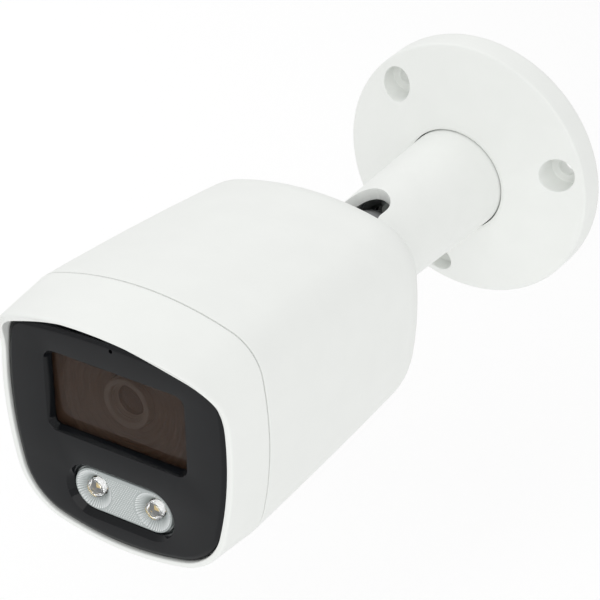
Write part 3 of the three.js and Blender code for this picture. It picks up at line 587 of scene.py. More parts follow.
def plated(name, colour, shade, roughness, pitch=0.15):
    """Turned and plated metal: fine rings of tool marks about the part's own axis."""
    made, tree, shader, place = material(name, colour, roughness, 1.0)
    mottle(tree, shader, place, colour, shade, 1.2, (roughness - 0.06, roughness + 0.1))
    marks = add(tree, "ShaderNodeTexWave", {"Vector": place, "Scale": per_mm(pitch) / 20,
                                            "Distortion": 0.4},
                wave_type="RINGS", rings_direction="Y")
    relief(tree, shader, marks.outputs["Fac"], 0.004, 0.4)
    return made


def soft_rubber():
    """Silicone rubber, moulded: matt with a dusty bloom."""
    return grained("silicone_rubber_black", COLOURS.rubber, COLOURS.black, 1.5, 0.85,
                   (0.75, 0.92), (0.3, 0.01, 0.5))


def solder_mask():
    """Green solder mask on a glass-fibre board, with faint tracks under it."""
    made, tree, shader, place = material("solder_mask_green", COLOURS.board, 0.35,
                                         Coat_Weight=0.4)
    tracks = add(tree, "ShaderNodeTexBrick", {
        "Vector": place, "Scale": per_mm(4), "Color1": linear(COLOURS.board),
        "Color2": linear(COLOURS.board_track), "Mortar": linear(COLOURS.board_track),
        "Mortar Size": 0.03})
    tree.links.new(tracks.outputs["Color"], shader.inputs["Base Color"])
    relief(tree, shader, tracks.outputs["Fac"], 0.03, 0.5)
    return made


def coated_glass():
    """Optical glass with a dark tube behind it: nearly black, with sharp reflections."""
    made, tree, shader, place = material("coated_optical_glass", COLOURS.glass, 0.04,
                                         Specular_IOR_Level=0.35)
    mottle(tree, shader, place, COLOURS.glass, COLOURS.glass_shade, 5, detail=0.0)
    return made


def lamp_phosphor():
    """Yellow phosphor in silicone over a lamp chip: matt, with a faint painted glow that brightens it as though
    lit.
    """
    return grained("lamp_phosphor", COLOURS.phosphor, COLOURS.phosphor_shade, 0.6, 0.5,
                   # The emission is painted light, there only to brighten the phosphor.
                   (0.4, 0.6), (0.2, 0.01, 0.5), Emission_Strength=0.25,
                   Emission_Color=linear(COLOURS.phosphor))


def studio_floor():
    """Seamless white paper: matt and even."""
    return material("studio_paper_white", COLOURS.paper, 0.9)[0]


FINISHES = {}


def make_finishes():
    """Every finish, by the record's slot."""
    FINISHES.update(
        white_paint=powder_coat(), black_gloss=gloss_acrylic(), black_plastic=moulded_black(),
        smoked_glass=tinted_window(), clear_plastic=clear_optic(), clear_dome=clear_dome(),
        baffle=baffle_plastic(), lens_black=lens_black(),
        dark_metal=plated("steel_black_oxide", COLOURS.dark_metal, COLOURS.dark_metal_shade, 0.32),
        steel=plated("steel_zinc_plated", COLOURS.steel, COLOURS.steel_shade, 0.28),
        brass=plated("brass_turned", COLOURS.brass, COLOURS.brass_shade, 0.3),
        aluminium=plated("aluminium_machined", COLOURS.aluminium, COLOURS.aluminium_shade, 0.38),
        rubber=soft_rubber(), board_green=solder_mask(), lens_glass=coated_glass(),
        phosphor=lamp_phosphor())


# ------------------------------------------------------------------ sizes a user would change
def length(name, description, default):
    """A length property whose default is given in millimetres."""
    return bpy.props.FloatProperty(name=name, description=description, default=default * MM,
                                   unit="LENGTH", precision=5)


class BracketSizes(bpy.types.PropertyGroup):
    edge: length("Edge", "Rounding of the base's front edge", 0.8)
    rim: length("Rim", "Height of the base's straight side", 7.4)
    back_edge: length("Back edge", "Chamfer of the base against the wall", 0.3)
    cover_seat: length("Cover seat", "Radius of the seat for the pan cover", 23.3)
    cover_depth: length("Cover depth", "Depth of the seat for the pan cover", 2.6)
    flange_seat: length("Flange seat", "Radius of the room for the arm's flange", 17.1)
    flange: length("Flange", "Radius of the arm's flange", 16.7)
    flange_thick: length("Flange thickness", "Thickness of the arm's flange", 3)
    hub_depth: length("Hub depth", "Distance of the hub's shoulder from the wall", 8.6)
    hub_edge: length("Hub edge", "Rounding of the hub's opening", 0.25)
    hole_edge: length("Hole edge", "Rounding of the fixing holes", 0.28)
    hub_bore: length("Hub bore", "Radius of the hub's opening for the arm", 13.98)
    hole_circle: length("Hole circle", "Radius of the circle of fixing holes", 28.4)
    counterbore: length("Counterbore", "Radius of a screw-head pocket", 4.4)
    through: length("Through hole", "Radius of a fixing hole", 2.3)
    floor: length("Floor", "Material under a screw head", 3.6)
    arm_root: length("Arm root", "Arm radius at the hub", 13.7)
    arm_neck: length("Arm neck", "Arm radius at the knuckle", 12.55)
    bore: length("Bore", "Radius of the arm's cable passage", 9.7)
    dome: length("Dome", "Radius of the arm's rounded end", 12.9)
    mouth: length("Mouth", "Half the width of the tilt slot", 6.35)
    slot_edge: length("Slot edge", "Rounding of the slot's edge", 0.1)
    holes: bpy.props.IntProperty(name="Holes", description="Fixing holes in the base", default=3)
    hole_start: bpy.props.FloatProperty(name="First hole", subtype="ANGLE",
                                        description="Angle of the first fixing hole",
                                        default=math.radians(14))


class KnuckleSizes(bpy.types.PropertyGroup):
    ball: length("Ball", "Radius of the ball", 8.9)
    cut: length("Ball cut", "Where the ball is cut flat, from its centre", 6.4)
    neck: length("Neck", "Radius of the neck", 5.2)
    cable: length("Cable hole", "Radius of the hole for the cable", 2.8)
    shoulder: length("Shoulder", "Radius of the shoulder on the neck", 8.4)
    shoulder_gap: length("Shoulder gap", "Gap from the shoulder to the housing", 0.3)
    ring: length("Press ring", "Radius of the press ring", 9.4)
    ring_bore: length("Press ring bore", "Bore of the press ring", 6.6)
    ring_bevel: length("Press ring bevel", "Slope at the bore of the press ring", 0.9)
    ring_split: length("Press ring split", "Width of the split in the press ring", 2.2)


class ShellSizes(bpy.types.PropertyGroup):
    wall: length("Wall", "Wall of the rear housing", 2.4)
    rear_wall: length("Rear wall", "Wall at the rear face", 3.4)
    rear_round: length("Rear rounding", "Rounding of the rear edge", 11.5)
    seam_edge: length("Seam edge", "Rounding of the shells' edges at the seam", 0.22)
    seam_gap: length("Seam gap", "Open line between the shells", 0.35)
    neck_bore: length("Neck bore", "Radius of the hole for the knuckle's neck", 5.6)
    lip_edge: length("Lip edge", "Rounding of the front lip", 0.55)
    brow_reach: length("Visor reach", "How far the visor stands out over the panel", 8.1)
    brow_knee: length("Visor knee", "Height where the visor starts", 19)
    brow_bend: length("Visor bend", "Half length of the bend at the knee", 4)
    brow_proud: length("Lip height", "How far the lip stands in front of the panel", 0.3)
    pocket: length("Pocket", "Depth of the seat that holds the panel", 2.8)
    ledge: length("Ledge", "Width of the ledge behind the panel", 2.6)
    ledge_thick: length("Ledge thickness", "Thickness of the ledge", 1.5)
    tongue: length("Tongue", "Length of the tongue inside the rear housing", 4.8)
    tongue_outer: length("Tongue outside", "From the shell's outside to the tongue", 2.7)
    tongue_inner: length("Tongue inside", "From the shell's outside to the bore", 4.3)


class FrontSizes(bpy.types.PropertyGroup):
    chamfer: length("Chamfer", "Width of the panel's bright edge", 1.1)
    thick: length("Thickness", "Thickness of the panel", 2)
    window_half: length("Window half", "Half the width of the lens window", 19.15)
    window_low: length("Window bottom", "Lower edge of the lens window", -0.85)
    window_high: length("Window top", "Upper edge of the lens window", 19.85)
    window_corner: length("Window corner", "Corner radius of the lens window", 2.6)
    window_bevel: length("Window bevel", "Slope of the window's edge", 0.8)
    lamp_pitch: length("Lamp pitch", "Distance between the two lamps", 16.24)
    lamp_radius: length("Lamp window", "End radius of the lamp window", 6.83)
    lamp_height: length("Lamp height", "Height of the lamps", -14)
    lamp_bevel: length("Lamp bevel", "Slope of the lamp window's edge", 1.5)
    glass_at: length("Glass depth", "Depth of the window's front face", 2.3)
    glass_thick: length("Glass thickness", "Thickness of the window", 1.3)
    mic_hole: length("Microphone hole", "Radius of the hole for the microphone", 0.5)
    mic_height: length("Microphone height", "Height of that hole", 25.2)
    ring_front: length("Ring depth", "Depth of the lens ring's front", 4.2)
    clear: length("Front element", "Radius of the lens's front element", 3.75)
    baffle_front: length("Baffle depth", "Depth of the baffle's front", 4.1)
    baffle_back: length("Baffle back", "Depth of the baffle's back", 7.3)
    baffle_margin: length("Baffle margin", "How far the baffle reaches past the window", 1.1)
    ridge_pitch: length("Ridge pitch", "Distance between the baffle's ridges", 1.68)
    prism_pitch: length("Prism pitch", "Distance between the optic's prisms", 0.62)
    optic_face: length("Optic depth", "Depth of the optic's face", 1.2)
    optic_floor: length("Cup depth", "Depth of the floor of the cups", 3.1)
    optic_back: length("Optic back", "Depth of the optic's back", 3.8)
    optic_flange: length("Optic flange", "How far the optic reaches behind the panel", 2.4)
    optic_flange_at: length("Flange depth", "Depth of that flange's front", 2.4)
    cup: length("Cup", "Radius of a lamp's fluted cup", 4.9)
    dome: length("Lamp dome", "Radius of the clear dome over a lamp", 2.3)
    lens_ring: length("Lens ring", "Radius of the ring round the lens", 6.2)
    flutes: bpy.props.IntProperty(name="Flutes", description="Flutes round a lamp's cup",
                                  default=44)
    ridges: bpy.props.IntProperty(name="Ridges", description="Ridges round the lens",
                                  default=6)


class StudioSettings(bpy.types.PropertyGroup):
    sky: bpy.props.FloatProperty(name="Sky", description="Strength of the even white light",
                                 default=0.77)
    key: bpy.props.FloatProperty(name="Key light", description="Power of the large soft light",
                                 default=6, unit="POWER")
    floor: length("Floor", "Height of the floor under the object", -200)


def in_mm(settings):
    """A property group's values, with every length in millimetres."""
    values = {}
    for prop in settings.bl_rna.properties:
        if prop.identifier in ("rna_type", "name"):
            continue
        value = getattr(settings, prop.identifier)
        values[prop.identifier] = value / MM if prop.unit == "LENGTH" else value
    return SimpleNamespace(**values)


class Maker(bpy.types.Operator):
    """Shared parts of the operators below"""
    bl_idname = "camera_part.base"
    bl_label = "Part"
    bl_options = {"REGISTER", "UNDO"}

    def execute(self, context):
        self.build(context.scene)
        return {"FINISHED"}

    def build(self, scene):
        raise NotImplementedError


# ------------------------------------------------------------------ bracket
class AddWallBase(Maker):
    """Round wall base with a conical face and counterbored fixing holes"""
    bl_idname = "camera_part.wall_base"
    bl_label = "Wall base"

    def build(self, scene):
        s = in_mm(scene.camera_bracket)
        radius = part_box("wall_base")[1].x / MM
        e = s.edge
        slope = (HUB_FRONT - s.rim) / (radius - s.hub_bore)
        profile = [(s.cover_seat, 0), (radius - s.back_edge, 0), (radius, -s.back_edge),
                   (radius, -s.rim + e),
                   *arc((radius - e, -s.rim + e), e, 0, -70, 6),
                   (radius - e - 1, -s.rim - slope),
                   (s.hub_bore + 1.2, -HUB_FRONT + 1.2 * slope),
                   *arc((s.hub_bore + s.hub_edge, -HUB_FRONT + 0.42), s.hub_edge, -100, -180, 4),
                   (s.hub_bore, -s.hub_depth), (s.flange_seat, -s.hub_depth),
                   (s.flange_seat, -s.cover_depth), (s.cover_seat, -s.cover_depth)]
        base = turned("wall_base_casting", profile, 180)
        cutters = []
        for i in range(s.holes):
            angle = s.hole_start + 2 * math.pi * i / s.holes
            spot = (s.hole_circle * math.cos(angle), s.hole_circle * math.sin(angle))
            cutters.append(turned("cut", [
                (0, 5), (s.through, 5), (s.through, -s.floor), (s.counterbore, -s.floor),
                (s.counterbore, -HUB_FRONT - 5), (0, -HUB_FRONT - 5)], 64, spot))
        carve(base, cutters)
        soften(base, s.hole_edge, 38)
        hand_over(base, "root", "white_paint", FINISHES["white_paint"], "wall_base")


class AddArm(Maker):
    """Conical arm with a domed end and an open tilt slot"""
    bl_idname = "camera_part.arm"
    bl_label = "Bracket arm"

    def build(self, scene):
        s = in_mm(scene.camera_bracket)
        tip = KNUCKLE + s.dome
        taper = (s.arm_root - s.arm_neck) / (KNUCKLE - HUB_FRONT)
        back = reach("bracket_arm", 1)
        join = KNUCKLE + 1
        neck = s.arm_root - taper * (join - HUB_FRONT)
        start = math.degrees(math.acos(min(1, neck / s.dome)))
        outer_end = math.degrees(math.acos(s.mouth / s.dome))
        inner_end = math.degrees(math.acos(s.mouth / s.bore))
        profile = [(s.bore, -back), (s.flange, -back), (s.flange, -back - s.flange_thick),
                   (s.arm_root, -back - s.flange_thick),
                   *[(s.arm_root + (neck - s.arm_root) * t, -HUB_FRONT - (join - HUB_FRONT) * t)
                     for t in np.linspace(0, 1, 24)],
                   *arc((0, -KNUCKLE), s.dome, -start, -outer_end, 20)]
        inner = arc((0, -KNUCKLE), s.bore, -inner_end, 0, 16)
        passage = [(s.bore, -d) for d in np.linspace(KNUCKLE, back, 24)[1:-1]]
        outer = turned("bracket_arm_casting", [*profile, *inner, *passage], 160)
        carve(outer, [plan_slot(s.mouth, KNUCKLE, 2 * tip, 0, 2 * s.dome)])
        soften(outer, s.slot_edge, 60, 2)
        hand_over(outer, "arm", "white_paint", FINISHES["white_paint"], "bracket_arm",
                  matrix=ARM_MATRIX)


def plan_slot(half, start, end, low, high, sides=32):
    """A cutter with a round end towards the wall, open away from it."""
    angles = np.radians(np.linspace(180, 0, sides + 1))
    plan = [(half * math.cos(a), -start + half * math.sin(a)) for a in angles]
    plan += [(half, -start - end), (-half, -start - end)]
    rows = [np.array([(x, y, z) for x, y in plan]) for z in (low, high)]
    return loft("cut", rows, looped=False)


class AddKnuckle(Maker):
    """Ball knuckle with its neck, and the press ring that clamps it"""
    bl_idname = "camera_part.knuckle"
    bl_label = "Knuckle"

    def build(self, scene):
        s = in_mm(scene.camera_knuckle)
        end = reach("knuckle", 0)
        near = -REAR_FACE + s.shoulder_gap
        far = -REAR_FACE + 1
        profile = [(s.cable, -KNUCKLE + s.cut), (6, -KNUCKLE + s.cut),
                   *arc((0, -KNUCKLE), s.ball, 44, -52, 20), (s.neck, -KNUCKLE - 8.5),
                   (s.neck, far + 0.4), (s.shoulder - 0.2, far + 0.2), (s.shoulder, far),
                   (s.shoulder, near), (s.neck, near), (s.neck, -end), (s.cable, -end)]
        knuckle = turned("knuckle_ball", profile, 96)
        hand_over(knuckle, "knuckle", "dark_metal", FINISHES["dark_metal"], "knuckle",
                  matrix=ARM_MATRIX)
        ring = self.ring("knuckle_press_ring", "press_ring_split", s)
        hand_over(ring, "arm", "steel", FINISHES["steel"], "knuckle_press_ring",
                  matrix=ARM_MATRIX)

    def ring(self, node, name, s):
        """A bevelled ring in the bore, split at the top."""
        near, far = reach(node, 1), reach(node, 0)
        outer, bore, half = s.ring, s.ring_bore, s.ring_split / 2
        body = turned(name, [(bore, -near), (outer - 0.4, -near), (outer, -near - 0.4),
                             (outer, -far + 0.3), (outer - 0.3, -far),
                             (bore + s.ring_bevel, -far), (bore, -far + s.ring_bevel)], 96)
        corners = ((-half, -near + 1), (half, -near + 1), (half, -far - 1), (-half, -far - 1))
        levels = (bore - 2.6, outer + 4.6)
        gap = loft("cut", [np.array([(x, y, z) for x, y in corners]) for z in levels],
                   looped=False)
        carve(body, [gap])
        soften(body, 0.12, 38)
        return body


class AddCoverScrews(Maker):
    """Three steel screws that hold the pan cover behind the base"""
    bl_idname = "camera_part.cover_screws"
    bl_label = "Pan cover screws"

    def build(self, scene):
        low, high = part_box("pan_cover_screw_1")
        x, z = (low.x + high.x) / 2 / MM, (low.z + high.z) / 2 / MM
        top = high.y / MM
        tip = low.y / MM
        recess, head, thread = 0.9, 1.95, 1.2
        screw = turned("cover_screw", [
            (0, top - 0.3), (recess, top - 0.3), (recess + 0.05, top), (head - 0.25, top),
            (head, top - 0.25), (head, top - 0.55), (thread, top - 0.6), (thread, tip + 0.4),
            (thread - 0.4, tip), (0, tip)], 24, (x, z))
        screws = repeat_round("pan_cover_screws", screw, 3, (0, 0), FINISHES["steel"])
        hand_over(screws, "root", "steel", FINISHES["steel"], "pan_cover_screw_1",
                  "pan_cover_screw_2", "pan_cover_screw_3")


# ------------------------------------------------------------------ shells
SEAM_AT = SEAM + 0.175            # middle of the open line between the shells
FRONT_REACH = FACE_AT + 9.1       # where FRONT_OUTLINE holds


def housing_outline(distance, grow=0.0, swell=0.3):
    """Outline of the rear housing at a distance from the wall."""
    t = (SEAM_AT - distance) / (SEAM_AT - REAR_FACE)
    return outline(blend(SEAM_OUTLINE, REAR_OUTLINE, t * (1 - swell) + swell * t * t), grow)


class AddRearHousing(Maker):
    """Tapered rear housing with a rounded end and an open front"""
    bl_idname = "camera_part.rear_housing"
    bl_label = "Rear housing"

    def build(self, scene):
        s = in_mm(scene.camera_shells)
        inner_end = REAR_FACE + s.rear_wall
        inner_round = s.rear_round - s.wall
        flat = housing_outline(REAR_FACE, -s.rear_round)
        flat_in = housing_outline(inner_end, -s.wall - inner_round)
        bearings = np.arctan2(flat[:, 1], flat[:, 0])

        def neck(radius, distance):
            ring = np.stack([np.cos(bearings), np.sin(bearings)], 1) * radius
            return level(ring, distance)

        rows = [neck(s.neck_bore, inner_end), neck(s.neck_bore, REAR_FACE + 0.4),
                neck(s.neck_bore + 0.12, REAR_FACE + 0.12), neck(s.neck_bore + 0.4, REAR_FACE),
                neck(s.neck_bore + 2, REAR_FACE)]
        rows.append((rows[-1] + level(flat, REAR_FACE)) / 2)
        rows += self.rounded(REAR_FACE, s.rear_round, 0, 22)
        start = REAR_FACE + s.rear_round
        rows += [level(housing_outline(d), d)
                 for d in np.linspace(start, SEAM - s.seam_edge, 36)[1:]]
        rows += [level(housing_outline(SEAM, -inset), SEAM - s.seam_edge + rise)
                 for inset, rise in self.edge(s.seam_edge)]
        rows += [level(housing_outline(SEAM, -s.wall), SEAM)]
        rows += [level(housing_outline(d, -s.wall), d)
                 for d in np.linspace(SEAM - 1, inner_end + inner_round, 8)]
        rows += list(reversed(self.rounded(inner_end, inner_round, s.wall, 6)))
        rows.append(level(flat_in, inner_end))
        shell = loft("rear_housing_casting", rows)
        hand_over(shell, "camera", "white_paint", FINISHES["white_paint"], "rear_housing")

    def rounded(self, end, radius, inset, steps):
        """Rows that round an end of the housing, from its flat to its side."""
        rows = []
        for angle in np.linspace(0, math.pi / 2, steps + 1):
            distance = end + radius * (1 - math.cos(angle))
            grow = -inset - radius * (1 - math.sin(angle))
            rows.append(level(housing_outline(distance, grow), distance))
        return rows

    def edge(self, radius, steps=4):
        """Insets and rises along a quarter round."""
        return [(radius * (1 - math.cos(a)), radius * math.sin(a))
                for a in np.linspace(0, math.pi / 2, steps + 1)[1:]]


class AddFrontShell(Maker):
    """Front shell with a visor whose lip stands out over the panel"""
    bl_idname = "camera_part.front_shell"
    bl_label = "Front shell"

    def build(self, scene):
        s = in_mm(scene.camera_shells)
        start = SEAM_AT + s.seam_gap / 2
        seam, front = outline(SEAM_OUTLINE), outline(FRONT_OUTLINE)
        lip, tip = outline(LIP_OUTLINE), outline(TIP_OUTLINE)

        all_round = np.ones(len(seam))

        def outer(distance):
            """Outline of the shell's outside, at a distance for each point."""
            t = ((distance - SEAM_AT) / (FRONT_REACH - SEAM_AT))[:, None]
            return seam + (front - seam) * t

        def opening(depth):
            """Outline of the shell's mouth, at a depth for each point."""
            return lip + (tip - lip) * np.clip(-depth / s.brow_reach, 0, None)[:, None]

        def stand(z):
            """How far the lip stands in front of the panel's plane."""
            over = np.clip(z - s.brow_knee + s.brow_bend, 0, 2 * s.brow_bend)
            curve = over * over / (4 * s.brow_bend)
            beyond = np.clip(z - s.brow_knee - s.brow_bend, 0, None)
            slope = s.brow_reach / (TIP_OUTLINE["top"] - s.brow_knee)
            return s.brow_proud + slope * (curve + beyond)

        reach_out = FACE_AT * all_round
        for _ in range(6):
            z = outer(reach_out)[:, 1]
            reach_out = FACE_AT - math.tan(FACE_LEAN) * z + stand(z)
        depth_in = 0 * all_round
        for _ in range(6):
            depth_in = -stand(opening(depth_in)[:, 1])

        def pocket(depth, grow=0.0):
            """A row on the inside of the mouth, in the part's frame."""
            flat = deep(opening(depth) + grow * out, depth)
            flat = flat @ np.array(Matrix.Rotation(-FACE_LEAN, 3, "X")).T
            return flat - (0, FACE_AT, 0)

        edge_out = outer(reach_out)
        out = edge_out - opening(depth_in)
        out /= np.linalg.norm(out, axis=1)[:, None]
        e, i = s.lip_edge, s.lip_edge * 0.6
        first = outer(start * all_round)
        rows = [level(first - s.ledge * out, start)]
        for a in np.linspace(math.pi / 2, 0, 5):
            rows.append(level(first - s.seam_edge * (1 - math.cos(a)) * out,
                              start + s.seam_edge * (1 - math.sin(a))))
        for t in np.linspace(0, 1, 30)[1:]:
            d = start + s.seam_edge + (reach_out - e - start - s.seam_edge) * t
            rows.append(level(outer(d), d))
        for a in np.linspace(0, math.pi / 2, 7)[1:]:
            rows.append(level(edge_out - e * (1 - math.cos(a)) * out,
                              reach_out - e * (1 - math.sin(a))))
        for a in np.linspace(math.pi / 2, 0, 5):
            rows.append(pocket(depth_in + i * (1 - math.sin(a)), i * (1 - math.cos(a))))
        for t in np.linspace(0, 1, 12)[1:]:
            rows.append(pocket(depth_in + i + (s.pocket - depth_in - i) * t))
        for depth in (s.pocket, s.pocket + s.ledge_thick):
            rows.append(pocket(depth * all_round, -s.ledge))
        tongue = SEAM - s.tongue
        for inset, distance in ((s.tongue_inner, SEAM), (s.tongue_inner, tongue),
                                (s.tongue_outer, tongue), (s.tongue_outer, start)):
            rows.append(level(housing_outline(SEAM, -inset), distance))
        shell = loft("front_shell_casting", rows)
        hand_over(shell, "camera", "white_paint", FINISHES["white_paint"], "front_shell")


# ------------------------------------------------------------------ front panel and optics
class AddFrontPanel(Maker):
    """Polished black panel with a lens window and a lamp window"""
    bl_idname = "camera_part.front_panel"
    bl_label = "Front panel"

    def build(self, scene):
        s = in_mm(scene.camera_front)
        c = s.chamfer
        steps = ((-0.25, 0), (0, 0.01), (0.2, 0.05), (c * 0.75, 0.32), (c * 0.95, 0.46),
                 (c, 0.65), (c, s.thick))
        outer = [deep(outline(FACE_OUTLINE, grow), depth) for grow, depth in steps]
        edge = ((0.2, 0), (0.04, 0.03), (-0.06, 0.12))

        def window(grow, depth):
            return deep(rounded_rect(s.window_half + grow, s.window_low - grow,
                                     s.window_high + grow, s.window_corner + grow), depth)

        def lamp(grow, depth):
            return deep(stadium(s.lamp_pitch, s.lamp_radius + grow, s.lamp_height), depth)

        holes = [
            [*(window(g, d) for g, d in edge), window(-s.window_bevel, s.thick - 0.35),
             window(-s.window_bevel - 0.05, s.thick)],
            [*(lamp(g, d) for g, d in edge), lamp(-s.lamp_bevel * 0.75, s.thick - 0.35),
             lamp(-s.lamp_bevel * 0.75 - 0.05, s.thick)]]
        panel = plate("front_panel_acrylic", outer, holes, 15)
        mic = turned("cut", [(0, -1), (s.mic_hole, -1), (s.mic_hole, s.thick + 1),
                             (0, s.thick + 1)], 24, (0, s.mic_height))
        carve(panel, [mic])
        clean(panel.data, 15)
        hand_over(panel, "camera", "black_gloss", FINISHES["black_gloss"], "front_panel",
                  matrix=FACE_MATRIX)


class AddWindow(Maker):
    """Smoked window over the lens"""
    bl_idname = "camera_part.window"
    bl_label = "Lens window"

    def build(self, scene):
        s = in_mm(scene.camera_front)
        near, thick = s.glass_at, s.glass_thick
        rows = []
        for inset, depth in ((0.25, 0), (0.07, 0.07), (0, 0.25), (0, thick - 0.25),
                             (0.07, thick - 0.07), (0.25, thick)):
            rows.append(deep(rounded_rect(s.window_half + 1 - inset, s.window_low - 1 + inset,
                                          s.window_high + 1 - inset, s.window_corner),
                             near + depth))
        glass = plate("lens_window_smoked", rows, [])
        hand_over(glass, "camera", "smoked_glass", FINISHES["smoked_glass"], "window_glass",
                  matrix=FACE_MATRIX)


class AddBaffle(Maker):
    """Grey plate behind the window with ridges round the lens"""
    bl_idname = "camera_part.baffle"
    bl_label = "Lens baffle"

    def build(self, scene):
        s = in_mm(scene.camera_front)
        sides = 288
        tiny = 1e-6                  # keeps the divisions below away from zero
        margin = s.baffle_margin
        angles = np.linspace(0, 2 * math.pi, sides, endpoint=False)
        half = s.window_half + margin
        up = s.window_high + margin - OPTIC_AXIS
        down = OPTIC_AXIS - s.window_low + margin
        high = np.where(np.sin(angles) > 0, up, down)
        edge = np.minimum(half / np.maximum(abs(np.cos(angles)), tiny),
                          high / np.maximum(abs(np.sin(angles)), tiny))

        def row(radius, depth):
            reach_to = np.minimum(radius, edge)
            return np.stack([reach_to * np.cos(angles), np.full(sides, depth),
                             OPTIC_AXIS + reach_to * np.sin(angles)], 1)

        front, back, pitch = s.baffle_front, s.baffle_back, s.ridge_pitch
        bore = s.lens_ring + 0.3
        deepest = front + 1.8
        rise, tall = 0.3, 0.75
        far = 2 * half               # past the corners, so the plate's edge decides
        rows = [row(bore, back), row(bore, deepest)]
        for k in range(s.ridges):
            foot = bore + 1.2 + pitch * k
            drop = deepest - rise * k
            rows += [row(foot, drop), row(foot + pitch * 0.45, drop - tall),
                     row(foot + pitch * 0.62, drop - tall)]
        rows += [row(bore + 1.3 + pitch * s.ridges, front), row(far, front), row(far, back)]
        baffle = loft("lens_baffle_ridged", rows, crease=25)
        hand_over(baffle, "camera", "black_plastic", FINISHES["baffle"], "lens_baffle",
                  matrix=FACE_MATRIX)


class AddLens(Maker):
    """Lens barrel with its front ring and stepped cone, and the front element"""
    bl_idname = "camera_part.lens"
    bl_label = "Lens"

    def build(self, scene):
        s = in_mm(scene.camera_front)
        front, ring, clear = s.ring_front, s.lens_ring, s.clear
        centre = (0, OPTIC_AXIS)
        back = front + 14
        stop, tube = 0.5, 6
        profile = [(stop, back), (tube, back), (tube, front + 3.4), (ring, front + 3.4),
                   (ring, front + 0.35), *arc((ring - 0.35, front + 0.35), 0.35, 0, -90, 4),
                   *arc((4.95, front + 0.25), 0.25, -90, -180, 4), (4.6, front + 0.9),
                   (4.25, front + 0.9), (4.2, front + 1.3), (3.9, front + 1.35),
                   (3.8, front + 1.9), (3.0, front + 2.6), (stop, front + 6)]
        barrel = turned("lens_barrel_anodised", profile, 128, centre)
        hand_over(barrel, "camera", "dark_metal", FINISHES["lens_black"], "lens_barrel",
                  matrix=FACE_MATRIX)
        crown, drop, rear = front + 1.15, 0.95, front + 2.3
        bulge = [(clear * t, crown + drop * t * t) for t in np.linspace(0, 1, 12)]
        element = turned("lens_front_element", [*bulge, (clear, rear), (0, rear)], 96, centre)
        hand_over(element, "camera", "lens_glass", FINISHES["lens_glass"], "lens_front_glass",
                  matrix=FACE_MATRIX)


def mark_crests_for_shade(obj, rise):
    """Marks the points of a small piece that stand out furthest; its finish paints shade on the lower points, in
    the valleys.
    """
    heights = np.array([v.co.y for v in obj.data.vertices]) / MM
    base = np.median(heights)
    marks = obj.data.attributes.new("crest_vs_painted_shade", "FLOAT", "POINT")
    marks.data.foreach_set("value", np.clip((heights - base) / rise, 0, 1).astype(np.float32))
    return obj


